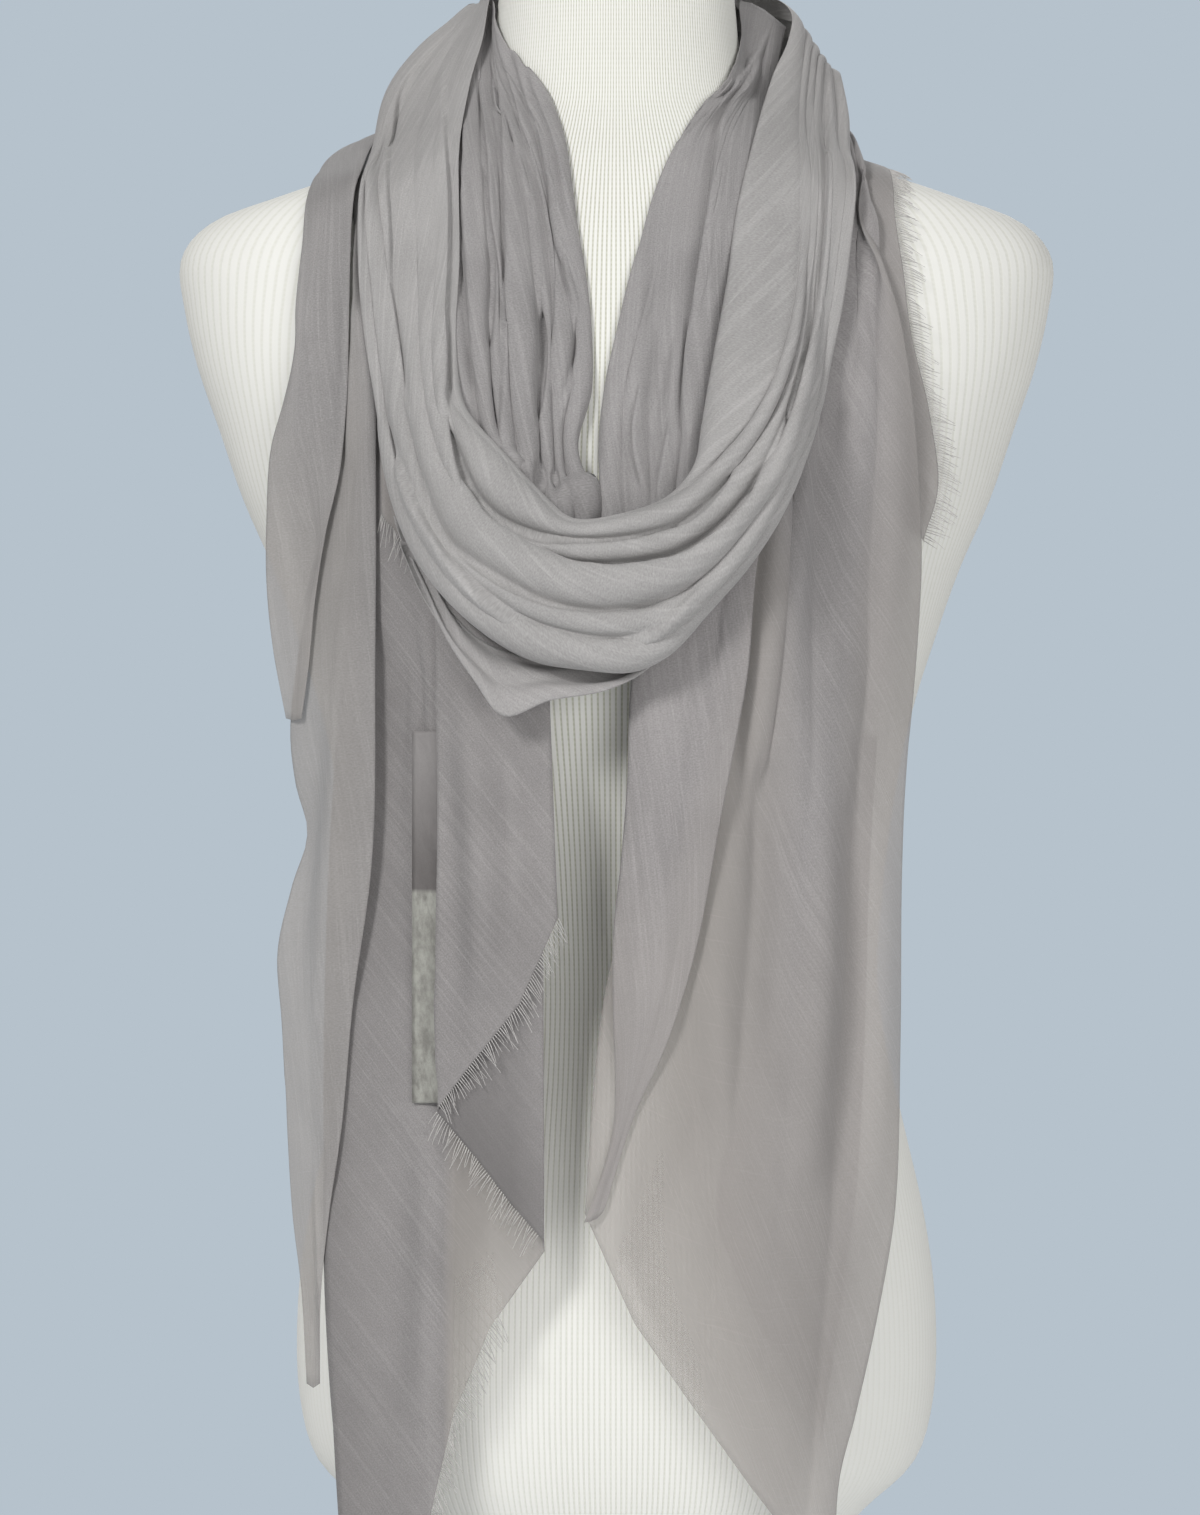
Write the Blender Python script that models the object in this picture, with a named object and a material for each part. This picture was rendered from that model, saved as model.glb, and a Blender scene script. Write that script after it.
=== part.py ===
"""Light frayed scarf wound once round the neck of a limbless dress form.

Tables are in millimetres. A fold line is given as it shows from the front: x is the distance
from the form's middle line and z the height, both measured in the plane y = 0. The function
sight() then moves each point along the line of sight to its own depth, so that a layer keeps
its outline however far in front of the form it hangs.
"""
import bpy
import bmesh
import numpy as np
from math import cos, pi, sin
from mathutils import Vector
from mathutils.bvhtree import BVHTree

MM = 0.001

# Viewing point that the front outlines are measured from
EYE = np.array([-7.6, -2000.0, 600.0])

# Cloth
WALL = 1.0                 # thickness of a cloth wall
REST_GAP = 0.5             # gap first left between two layers that rest on each other
PART_GAP = 0.3             # least gap between two walls
RIM_GAP = 0.4              # gap between a cut edge and its fringe strip

# Stand
BASE_RADIUS = 155.0
BASE_HEIGHT = 12.0
BASE_EDGE = 3.0
POLE_RADIUS = 12.5
SEAM = 0.3                 # gap where two hard pieces meet
FORM_BOTTOM = 219.0

# Dress form: a row for each section
# height, half width, depth in front, depth behind, drop of the ring at its sides
FORM_SECTIONS = [
    (995, 40, 38, 40, 0),
    (990, 49, 45, 47, 0),
    (970, 53, 48, 50, 0),
    (948, 55, 50, 52, 0),
    (921, 58, 51, 54, 0),
    (899, 64, 53, 57, 0),
    (886, 86, 58, 64, 3),
    (875, 120, 64, 75, 9),
    (864, 162, 70, 84, 11),
    (849, 189, 77, 91, 6),
    (827, 201, 86, 96, 0),
    (805, 199, 92, 99, 0),
    (779, 193, 98, 101, 0),
    (750, 183, 103, 100, 0),
    (718, 172, 107, 98, 0),
    (686, 158, 109, 95, 0),
    (655, 147, 109, 93, 0),
    (620, 136, 106, 90, 0),
    (580, 128, 99, 86, 0),
    (540, 123, 91, 82, 0),
    (500, 120.5, 86, 81, 0),
    (465, 125, 88, 88, 0),
    (430, 133, 94, 98, 0),
    (390, 142, 99, 107, 0),
    (350, 147, 101, 110, 0),
    (307, 146, 101, 108, 0),
    (280, 138, 98, 103, 0),
    (258, 115, 92, 97, 0),
    (236, 96, 86, 89, 0),
    (FORM_BOTTOM, 86, 78, 80, 0),
]
FORM_SIDES = 36
FORM_SQUARENESS = 2.3      # 2 is an ellipse
BUST_X = 64.0
BUST_Z = 655.0
BUST_SPREAD = 42.0
BUST_RISE = 15.0

# Depth of the cowl in front of the middle plane, by height
# height, depth
COWL_HANG = [
    (960, 4), (945, -4), (925, -22), (902, -42), (880, -62), (856, -80), (830, -97),
    (800, -113), (764, -130), (730, -143), (690, -152), (650, -158), (610, -161),
]
COWL_ROUND_FROM = 55.0     # beyond this distance from the middle the cowl turns back
COWL_ROUND = 0.0125        # how quickly it does, per millimetre
BULGE_SHARE = 0.3          # most that cloth swells, as a share of the width between two lines
FRONT_FROM = -22.0         # layers lie over each other towards the eye before this depth
MOST_MOVE = 30.0           # and are moved by no more than this
NEIGHBOUR = 3.0            # how far round a point the layers behind it are felt


def clear_scene():
    for item in list(bpy.data.objects):
        bpy.data.objects.remove(item, do_unlink=True)


def material(name, colour, roughness):
    finish = bpy.data.materials.new(name)
    finish.use_nodes = True
    shader = finish.node_tree.nodes["Principled BSDF"]
    shader.inputs["Base Color"].default_value = (*colour, 1)
    shader.inputs["Roughness"].default_value = roughness
    shader.inputs["Metallic"].default_value = 0
    return finish


def add_object(name, mesh_data, finish):
    """Make an object from a bmesh in millimetres."""
    bmesh.ops.scale(mesh_data, vec=(MM, MM, MM), verts=mesh_data.verts)
    mesh = bpy.data.meshes.new(name)
    mesh_data.to_mesh(mesh)
    mesh_data.free()
    mesh.materials.append(finish)
    mesh.shade_smooth()
    mesh.set_sharp_from_angle(angle=pi / 4)
    item = bpy.data.objects.new(name, mesh)
    bpy.context.collection.objects.link(item)
    return item


# Hard pieces

def form_point(section, angle):
    height, half_width, front, behind, drop = section
    power = 2 / FORM_SQUARENESS
    across = np.sign(cos(angle)) * abs(cos(angle)) ** power
    fore = np.sign(sin(angle)) * abs(sin(angle)) ** power
    x = half_width * across
    y = fore * (behind if fore > 0 else front)
    z = height - drop * abs(across) ** 3
    if y < 0:
        away = ((abs(x) - BUST_X) ** 2 + (z - BUST_Z) ** 2) / (2 * BUST_SPREAD ** 2)
        y -= BUST_RISE * np.exp(-away) * abs(fore)
    return Vector((x, y, z))


def dress_form(finish):
    work = bmesh.new()
    rings = []
    for section in FORM_SECTIONS:
        turn = [form_point(section, 2 * pi * i / FORM_SIDES) for i in range(FORM_SIDES)]
        ring = [work.verts.new(point) for point in turn]
        edges = [work.edges.new((ring[i], ring[i - 1])) for i in range(FORM_SIDES)]
        rings.append(edges)
    for upper, lower in zip(rings, rings[1:]):
        bmesh.ops.bridge_loops(work, edges=upper + lower)
    bmesh.ops.contextual_create(work, geom=rings[0])
    bmesh.ops.contextual_create(work, geom=rings[-1])
    bmesh.ops.recalc_face_normals(work, faces=work.faces)
    bmesh.ops.triangulate(work, faces=work.faces)
    solid = BVHTree.FromBMesh(work)
    return add_object("dress_form", work, finish), solid


def round_bar(name, radius, low, high, edge, sides, finish):
    work = bmesh.new()
    bmesh.ops.create_cone(work, cap_ends=True, segments=sides, radius1=radius, radius2=radius,
                          depth=high - low)
    bmesh.ops.translate(work, vec=(0, 0, (low + high) / 2), verts=work.verts)
    if edge:
        rims = [e for e in work.edges if abs(e.verts[0].co.z - e.verts[1].co.z) < 0.01
                and e.calc_length() < radius]
        bmesh.ops.bevel(work, geom=rims, offset=edge, segments=2, profile=0.5,
                        affect="EDGES", material=-1)
    return add_object(name, work, finish)


# Fold lines

def sight(x, z, depth):
    """Move the point (x, 0, z) along its line of sight to a depth."""
    reach = (depth - EYE[1]) / -EYE[1]
    return np.array([EYE[0] + (x - EYE[0]) * reach, depth, EYE[2] + (z - EYE[2]) * reach])


CURVE_STEPS = 12           # points read from a curve between two given points


def curve(points):
    """A smooth curve through points."""
    points = np.asarray(points, float)
    steps = np.linalg.norm(np.diff(points, axis=0), axis=1)
    knots = np.concatenate([[0], np.cumsum(np.maximum(steps, 1e-6) ** 0.5)])
    slopes = np.gradient(points, knots, axis=0)
    dense = []
    for i in range(len(points) - 1):
        span = knots[i + 1] - knots[i]
        for t in np.linspace(0, 1, CURVE_STEPS, endpoint=False):
            h00 = 2 * t ** 3 - 3 * t ** 2 + 1
            h10 = t ** 3 - 2 * t ** 2 + t
            h01 = -2 * t ** 3 + 3 * t ** 2
            h11 = t ** 3 - t ** 2
            dense.append(h00 * points[i] + h10 * span * slopes[i]
                         + h01 * points[i + 1] + h11 * span * slopes[i + 1])
    dense.append(points[-1])
    return np.array(dense)


def read(line, count, early=1.0):
    """Points along a line at even distances, or closer together at its start."""
    run = np.concatenate([[0], np.cumsum(np.linalg.norm(np.diff(line, axis=0), axis=1))])
    wanted = run[-1] * np.linspace(0, 1, count) ** early
    return np.stack([np.interp(wanted, run, line[:, k]) for k in range(3)], axis=1)


def loop_line(front, nape):
    """A closed fold line: from the left shoulder to the middle, to the right shoulder, and round
    the nape back to its start, each stretch with a set number of points."""
    whole = front + nape
    dense = curve(whole[-2:] + whole + whole[:2])
    dip = min(range(len(front)), key=lambda i: abs(front[i][0]))
    marks = [2, 2 + dip, 1 + len(front), 2 + len(whole)]
    line = [dense[marks[0] * CURVE_STEPS]]
    for start, end, count in zip(marks, marks[1:], COWL_STRETCHES):
        stretch = dense[start * CURVE_STEPS:end * CURVE_STEPS + 1]
        line.extend(read(stretch, count + 1)[1:])
    return np.array(line)


def loft(lines, bulges, between, side=1):
    """Rows of points from each fold line to the next, swollen between them.

    bulges has a row for each pair of lines and a value for each point along them. side is -1
    where the lines run the other way round, so that cloth always swells outwards.
    """
    rows = []
    for first, second, bulge in zip(lines, lines[1:], bulges):
        along = np.gradient(first + second, axis=0)
        out = np.cross(along, second - first)
        out /= np.maximum(np.linalg.norm(out, axis=1, keepdims=True), 1e-9)
        most = BULGE_SHARE * np.linalg.norm(second - first, axis=1)
        swell = side * out * np.reshape(np.minimum(bulge, most), (-1, 1))
        for k in range(between):
            t = k / between
            rows.append(first * (1 - t) + second * t + swell * sin(pi * t) ** 0.8)
    rows.append(lines[-1])
    return np.array(rows)


def even(values, count):
    """Spread a few values evenly over the points of a line."""
    return np.interp(np.linspace(0, 1, count), np.linspace(0, 1, len(values)), values)


def wall_tree(grid, thickness):
    """The faces of a cloth wall through a grid, for finding what it meets."""
    rows, count, _ = grid.shape
    normals = np.cross(np.gradient(grid, axis=0), np.gradient(grid, axis=1))
    normals /= np.maximum(np.linalg.norm(normals, axis=2, keepdims=True), 1e-9)
    sides = [grid + normals * thickness / 2, grid - normals * thickness / 2]
    verts = [Vector(p) for side in sides for p in side.reshape(-1, 3)]
    cells = [(i, j) for i in range(rows - 1) for j in range(count - 1)]
    faces = []
    for shift in (0, rows * count):
        for i, j in cells:
            corner = shift + i * count + j
            faces.append((corner, corner + 1, corner + count + 1, corner + count))
    return BVHTree.FromPolygons(verts, faces), cells


class Layers:
    """What the next layer of cloth has to stay clear of."""

    def __init__(self, form):
        self.form = form
        self.cloth = []
        self.walls = [form]

    def clear_of_form(self, grid, gap):
        for point in grid.reshape(-1, 3):
            near, normal, _, _ = self.form.find_nearest(Vector(point))
            height = (Vector(point) - near).dot(normal)
            if height < gap:
                point += np.array(normal) * (gap - height)

    def clear_of_cloth(self, grid, gap, spread):
        """Bring points towards the eye until they clear every layer behind them."""
        rows, count, _ = grid.shape
        amount = np.zeros((rows, count))
        eye = Vector(EYE)
        shifts = [(0, 0), (spread, 0), (-spread, 0), (0, spread), (0, -spread)]
        for i in range(rows):
            for j in range(count):
                if grid[i, j, 1] > FRONT_FROM:
                    continue
                for dx, dz in shifts:
                    point = Vector(grid[i, j]) + Vector((dx, 0, dz))
                    ray = (point - eye).normalized()
                    for tree in self.cloth:
                        hit, normal, _, _ = tree.ray_cast(eye, ray)
                        if hit is None:
                            continue
                        lean = max(abs(normal.dot(ray)), 0.4)
                        need = (point - hit).dot(ray) + gap / lean
                        if need < MOST_MOVE:
                            amount[i, j] = max(amount[i, j], need)
        settled = amount.copy()
        for _ in range(4):
            padded = np.pad(settled, 1, mode="edge")
            mean = (padded[:-2, 1:-1] + padded[2:, 1:-1] + padded[1:-1, :-2]
                    + padded[1:-1, 2:]) / 4
            settled = np.maximum(amount, mean)
        towards = EYE - grid
        towards /= np.linalg.norm(towards, axis=2, keepdims=True)
        grid += towards * settled[:, :, None]

    def outward(self, grid):
        """Away from the form behind the shoulders, and towards the eye in front."""
        towards = EYE - grid
        towards /= np.linalg.norm(towards, axis=2, keepdims=True)
        away = np.array([self.form.find_nearest(Vector(p))[1] for p in grid.reshape(-1, 3)])
        front = np.clip((-grid[:, :, 1:2] - 10) / 40, 0, 1)
        way = front * towards + (1 - front) * away.reshape(grid.shape)
        return way / np.linalg.norm(way, axis=2, keepdims=True)

    def part(self, grid, step=0.5, tries=60):
        """Move the places that still meet another wall outwards, a little at a time."""
        rows, count, _ = grid.shape
        way = self.outward(grid)
        for _ in range(tries):
            tree, cells = wall_tree(grid, WALL + 2 * PART_GAP)
            move = np.zeros((rows, count))
            for wall in self.walls:
                for mine, _ in tree.overlap(wall):
                    i, j = cells[mine % len(cells)]
                    move[i:i + 2, j:j + 2] = 1
            if not move.any():
                return
            padded = np.pad(move, 1, mode="edge")
            mean = (padded[:-2, 1:-1] + padded[2:, 1:-1] + padded[1:-1, :-2]
                    + padded[1:-1, 2:]) / 4
            grid += way * step * np.maximum(move, 0.8 * mean)[:, :, None]

    def add(self, grid):
        self.walls.append(wall_tree(grid, WALL)[0])
        rows, count, _ = grid.shape
        verts = [Vector(p) for p in grid.reshape(-1, 3)]
        faces = [(i * count + j, i * count + j + 1, (i + 1) * count + j + 1, (i + 1) * count + j)
                 for i in range(rows - 1) for j in range(count - 1)]
        self.cloth.append(BVHTree.FromPolygons(verts, faces))


def cloth(name, grid, layers, finish, closed=False):
    """A sheet of cloth through a grid of points, with its wall to both sides of it."""
    rows, count, _ = grid.shape
    work = bmesh.new()
    bmesh.ops.create_grid(work, x_segments=count - 1, y_segments=rows - 1, size=1)
    work.verts.ensure_lookup_table()
    for vert, point in zip(work.verts, grid.reshape(-1, 3)):
        vert.co = point
    if closed:
        bmesh.ops.remove_doubles(work, verts=work.verts, dist=0.01)
    item = add_object(name, work, finish)
    wall = item.modifiers.new("wall", "SOLIDIFY")
    wall.thickness = WALL * MM
    wall.offset = 0
    layers.add(grid)
    return item


def depth_at(x, z):
    """Depth at which the cowl hangs."""
    heights = [row[0] for row in COWL_HANG][::-1]
    depths = [row[1] for row in COWL_HANG][::-1]
    beyond = max(0, abs(x) - COWL_ROUND_FROM)
    return np.interp(z, heights, depths) + COWL_ROUND * beyond ** 2


def hang_depth(form, x, z):
    """Depth of cloth that lies on the form, or hangs plumb below where it last touched it."""
    best = 0.0
    side = min(max(x, -140), 140)
    height = z
    while height < 870:
        hit, _, _, _ = form.ray_cast(Vector((side, -400, height)), Vector((0, 1, 0)))
        if hit is not None:
            best = min(best, hit.y)
        height += 15
    return best


def hung_line(form, points, lift, start=()):
    """Points of a fold line on a hanging tail; start holds true points over the shoulder."""
    line = [np.array(p, float) for p in start]
    for (x, z), rise in zip(points, even(np.atleast_1d(lift), len(points))):
        line.append(sight(x, z, hang_depth(form, x, z) - rise))
    return line


def sheet(name, lines, bulges, along, between, layers, finish, early=1.0, over=True, side=1):
    """A sheet through fold lines; over brings it in front of the layers made before it."""
    lines = [read(curve(line), along, early) for line in lines]
    grid = loft(lines, [even(b, along) for b in bulges], between, side)
    layers.clear_of_form(grid, WALL / 2 + REST_GAP)
    if over:
        layers.clear_of_cloth(grid, WALL + REST_GAP, NEIGHBOUR)
    layers.part(grid)
    cloth(name, grid, layers, finish)
    return grid


# Fringe

STRIP_WIDE = 1.6           # strip that the strands stand in
STRIP_THICK = 0.9
STRAND = 9.0               # length of a strand
STRAND_SPREAD = (0.7, 1.1) # shortest and longest, as shares of it
STRAND_LEAN = 0.28
STRAND_TAPER = 0.45        # size of its tip as a share of its root
TRIM_STEP = 0.5


def fringe(name, edge, out, count, trim, finish, seed):
    """Strands that stand in a narrow strip along a cut edge, which stops short of its ends by
    the trim; out points away from the cloth."""
    draw = np.random.RandomState(seed)
    samples = int(np.linalg.norm(np.diff(edge, axis=0), axis=1).sum() / TRIM_STEP)
    trimmed = int(trim / TRIM_STEP)
    path = read(read(edge, samples)[trimmed:-trimmed], count * 2 + 1)
    along = np.gradient(path, axis=0)
    along /= np.linalg.norm(along, axis=1, keepdims=True)
    out = np.asarray(out, float)
    face = np.cross(along, out)
    face /= np.linalg.norm(face, axis=1, keepdims=True)
    out = np.cross(face, along)
    start = path + out * RIM_GAP
    work = bmesh.new()
    sections = []
    for base, o, f in zip(start, out, face):
        half = f * STRIP_THICK / 2
        tip = base + o * STRIP_WIDE
        corners = (base - half, base + half, tip + half, tip - half)
        sections.append([work.verts.new(c) for c in corners])
    for i, (a, b) in enumerate(zip(sections, sections[1:])):
        for k in range(4):
            side = work.faces.new((a[k], a[(k + 1) % 4], b[(k + 1) % 4], b[k]))
            if k == 2 and i % 2 == 1:
                side.material_index = 1
    work.faces.new(sections[0][::-1])
    work.faces.new(sections[-1])
    bmesh.ops.recalc_face_normals(work, faces=work.faces)
    roots = [f for f in work.faces if f.material_index == 1]
    for face_root in roots:
        face_root.material_index = 0
        normal = face_root.normal.copy()
        tip = bmesh.ops.extrude_discrete_faces(work, faces=[face_root])["faces"][0]
        middle_point = tip.calc_center_median()
        lean = Vector(draw.uniform(-STRAND_LEAN, STRAND_LEAN, 3))
        lean.y = 0
        way = (normal + lean).normalized()
        far = middle_point + way * STRAND * draw.uniform(*STRAND_SPREAD)
        for vert in tip.verts:
            vert.co = far + (vert.co - middle_point) * STRAND_TAPER
    return add_object(name, work, finish)


# The scarf

LEFT_TAIL_OUTER = [
    # over the shoulder, then down the front: the outline, the leaf's edge, the inner edge
    ([(-62, 77, 886), (-100, 57, 886), (-132, 12, 877)],
     [(-138, 859), (-144, 836), (-147.5, 808), (-148, 787), (-153, 764), (-159, 742),
      (-161, 711), (-161, 680), (-158, 650), (-152, 618)], (5, 5, 3)),
    ([(-52, 81, 891), (-88, 61, 893), (-121, 10, 884)],
     [(-133, 850), (-141, 815), (-146, 777), (-146, 748), (-141, 718), (-138, 700),
      (-141, 682), (-146, 664), (-147, 640), (-148.5, 617)], (8, 7, 3.5)),
    ([(-42, 84, 895), (-76, 63, 898), (-107, 8, 889)],
     [(-119, 858), (-122, 830), (-123, 795), (-124, 764), (-127, 732), (-134, 702),
      (-139, 670), (-141, 648), (-143, 632), (-145, 618)], (3, 3, 3)),
]
LEFT_TAIL_FRONT = [
    # the outer edge, the crease inside it and the front edge
    ([(-48, 72, 884), (-84, 50, 886), (-112, 6, 880)],
     [(-121, 850), (-124, 800), (-127, 750), (-136, 700), (-146, 650), (-150, 612),
      (-148, 590), (-144, 566), (-150, 540), (-156, 510), (-154, 479), (-152, 440),
      (-149, 390), (-145, 356), (-142.5, 312)], (3, 3, 3)),
    ([(-42, 74, 886), (-76, 52, 888), (-104, 4, 884)],
     [(-116, 852), (-118, 800), (-119, 750), (-124, 700), (-129, 650), (-131, 600),
      (-132, 560), (-137, 520), (-141, 480), (-141, 440), (-141, 400), (-139.5, 360),
      (-139.5, 310)], (9, 9, 4)),
    ([(-36, 76, 889), (-68, 54, 891), (-97, 2, 886)],
     [(-111, 856), (-110, 818), (-110.6, 756), (-110.6, 694), (-111, 640), (-111.5, 571),
      (-114, 538), (-121, 489), (-126.5, 430), (-132, 392), (-136, 353), (-136.5, 312)], (5, 5, 3.5)),
]
# Pleats of the left tail behind its front panel, folded to and fro as one sheet:
# x and z at the top, x and z at the foot of each line, and how far it stands before the form
LEFT_PLEATS = [
    (-33, 690, -27, 526, 13.0),
    (-50, 690, -45, 486, 14.5),
    (-68, 690, -66, 460, 13.5),
    (-82, 690, -81.5, 440, 11.5),
    (-83, 690, -82.5, 437, 9.0),
    (-66, 690, -64, 415, 8.5),
    (-48, 690, -48, 394, 8.0),
    (-35, 690, -34, 378, 7.0),
    (-34, 690, -33, 373, 4.5),
    (-50, 690, -58, 338, 4.5),
    (-66, 690, -75, 298, 3.5),
    (-84, 730, -86, 250, 4.5),
    (-98, 780, -104, 205, 2.5),
    (-113, 790, -122, 166, 3.5),
]
LEFT_PLEATS_BOW = [0, 0, 0, 0, 0, 0, 0, 0, 0, 0, -2, -6, -12, -19]   # bow of each line outwards

LEFT_CORNER = [
    ([], [(-108, 800), (-108.5, 760), (-108, 712)], 5),
    ([], [(-102, 800), (-103, 755), (-103, 706)], 8),
    ([], [(-90, 800), (-92, 750), (-94, 694)], 6),
]

RIGHT_TAIL_MAIN = [
    ([(30, 80, 897), (58, 58, 906), (76, 8, 904)],
     [(80, 862), (72, 815), (60, 765), (48, 705), (36, 640), (20, 580), (4, 530), (-5, 493),
      (-9.4, 460), (-12, 430), (-14.5, 390)], 5),
    ([(35, 79, 896), (65, 57, 904), (84, 8, 901)],
     [(89, 858), (83, 808), (73, 760), (64, 700), (55, 640), (44, 560), (32, 480), (22, 420),
      (8, 340)], (5, 8, 8, 7)),
    ([(40, 78, 895), (72, 56, 901), (91, 8, 897)],
     [(97, 854), (93, 800), (84, 750), (78, 700), (73, 640), (67, 580), (60, 500), (52, 420),
      (36, 300)], (5, 4, 4, 5)),
    ([(45, 76, 892), (80, 54, 897), (97, 8, 894)],
     [(105, 851), (104, 800), (98, 740), (93, 690), (90, 640), (88, 580), (82, 500),
      (76, 400), (62, 264)], (5, 9, 9, 6)),
    ([(50, 74, 889), (88, 52, 893), (103, 4, 890)],
     [(113, 850), (118, 800), (118, 740), (116, 690), (114, 640), (110, 580), (107, 500),
      (100, 400), (86, 232)], 5),
    ([(56, 71, 886), (96, 50, 889), (108, 2, 887)],
     [(118, 845), (129, 808), (134.5, 773), (138, 728), (139.6, 690), (137, 640), (133, 590),
      (130.4, 534), (129.8, 470), (128, 392), (120, 343), (110, 298), (102, 265), (101, 204)],
     8),
]
RIGHT_TAIL_INNER = [
    ([], [(24, 745), (16, 700), (9, 655), (6, 625), (5, 590), (2, 552), (-1.6, 518),
          (-1.6, 484), (-1, 433), (-8, 404), (-15, 386)], (13, 13, 10)),
    ([], [(44, 748), (38, 700), (30, 640), (26, 590), (21, 535), (13, 480), (7, 455), (1.3, 430),
          (-6.5, 404), (-12, 386.5)], (15, 15, 10.5)),
    ([], [(56, 750), (52, 700), (46, 650), (42, 600), (35, 550), (26, 505), (12, 455),
          (4, 430), (-4, 404), (-9, 388)], (14, 14, 10)),
    ([], [(70, 752), (68, 710), (64, 684), (60.5, 640), (54.5, 606), (47, 567), (36.6, 512),
          (23, 468), (8, 435), (-6, 391)], (15, 14.5, 10.5)),
]
RIGHT_TAIL_UNDER = [
    ([], [(70, 610), (66, 560), (70, 500), (56, 440), (46, 390), (68, 334)], (3.6, 2.5, 1.5)),
    ([], [(94, 610), (92, 540), (92, 470), (84, 400), (84, 312)], (6, 4, 3)),
    ([], [(120, 610), (116, 540), (114, 470), (110, 400), (95, 292)], (5, 3, 1.5)),
]
RIGHT_TAIL_BACK = [
    ([(52, 68, 876), (86, 46, 878), (102, 6, 877)],
     [(110, 850), (117, 815), (121, 780), (125, 745), (129, 712)], 1),
    ([(58, 64, 872), (96, 42, 875), (110, 4, 876)],
     [(119, 851), (125, 815), (131, 780), (136, 745), (136, 705)], 3),
    ([(64, 60, 869), (102, 38, 872), (117, 2, 871)],
     [(126, 849), (131, 822), (135, 790), (143, 760), (148, 725), (141, 700)], 1),
]

# Pleats that go up beside the neck, at the left from the cowl to the bunch at the nape
LEFT_NECK = [
    # how far behind the cowl's depth, then the points of the line
    ((8, 14, 14, 24), [(-58.5, 946), (-72, 925), (-82, 890), (-84, 850), (-84, 800), (-80, 760), (-72, 735)]),
    ((5.5, 8, 8, 22), [(-58.5, 946), (-66, 930), (-67, 912), (-70, 881), (-71, 850), (-69, 827), (-67, 800),
         (-65, 765), (-58, 732)]),
    ((3, 11, 12, 24), [(-58, 946), (-63, 909), (-60, 881), (-58, 854), (-57, 820), (-58, 780), (-51, 720)]),
    ((0.5, 9, 10, 24), [(-57.5, 946), (-57, 925), (-53, 900), (-51, 860), (-51, 830), (-50, 790), (-48, 758),
          (-42, 715)]),
    ((-2, 14, 17, 26), [(-57, 946), (-54, 920), (-48, 881), (-40, 855), (-36, 830), (-33, 795), (-36, 760),
          (-34, 708)]),
    ((-4.5, 12, 14, 26), [(-56.5, 947), (-51, 918), (-43, 890), (-36, 865), (-30, 840), (-28, 807), (-30, 770),
          (-27, 705)]),
    ((-7, 12, 20, 28), [(-56, 947), (-48, 925), (-38, 895), (-31, 865), (-26, 835), (-18, 804), (-20, 776),
          (-25, 748), (-19, 704)]),
    ((-9.5, 12, 28, 30), [(-55.5, 948), (-46, 935), (-33, 911), (-25, 884), (-20, 850), (-14, 816), (-12, 790),
          (-12, 768), (-18, 744), (-15, 732), (-9.5, 722), (-8, 704)]),
]
LEFT_NECK_BULGE = [(0, 1, 4, 4, 5), (0, 1, 3, 4, 4), (0, 0.5, 3, 4, 4), (0, 1, 4, 4, 4),
                   (0, 1, 4, 4, 4), (0, 1.5, 3, 3, 3), (0, 2, 5, 5, 4)]
RIGHT_NECK = [
    ((4, 28, 30), [(55, 948), (44, 924), (36, 897), (26, 873), (16, 848), (7, 818), (0, 790), (-5, 768),
          (-8, 745), (-7, 704)]),
    ((8, 20, 26), [(62, 947), (54, 920), (45, 897), (35, 873), (25, 845), (16, 815), (8, 785), (4, 765),
          (3, 745), (5, 706)]),
    ((12, 15, 24), [(68, 944), (60, 918), (50, 897), (41, 870), (34, 840), (27, 810), (21, 780),
          (16, 750), (16, 708)]),
    ((16, 20, 22), [(73, 940), (64, 915), (54, 893), (47, 865), (42, 840), (37, 805), (33, 775),
          (30, 745), (26, 711)]),
    ((20, 15, 18), [(78, 936), (72, 912), (64, 890), (58, 862), (54, 835), (50, 805), (45, 775),
          (40, 750), (34, 716)]),
]
# Inner turn behind the neck, as true points from left to right
NECK_BACK = [
    [(-52, 20, 960), (-46, 31, 966), (0, 51, 970), (46, 31, 964), (54, 12, 952)],
    [(-54, 22, 952), (-48, 40, 955), (0, 58, 957), (50, 41, 953), (62, 14, 944)],
    [(-55, 22, 943), (-49, 42, 943), (0, 60, 943), (53, 44, 941), (67, 14, 936)],
    [(-56, 22, 934), (-50, 44, 931), (0, 62, 929), (56, 46, 929), (72, 14, 928)],
]
RIGHT_NECK_BULGE = [(0, 6, 4), (0, 4, 3), (0, 4, 3), (0, 4, 3)]

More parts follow.
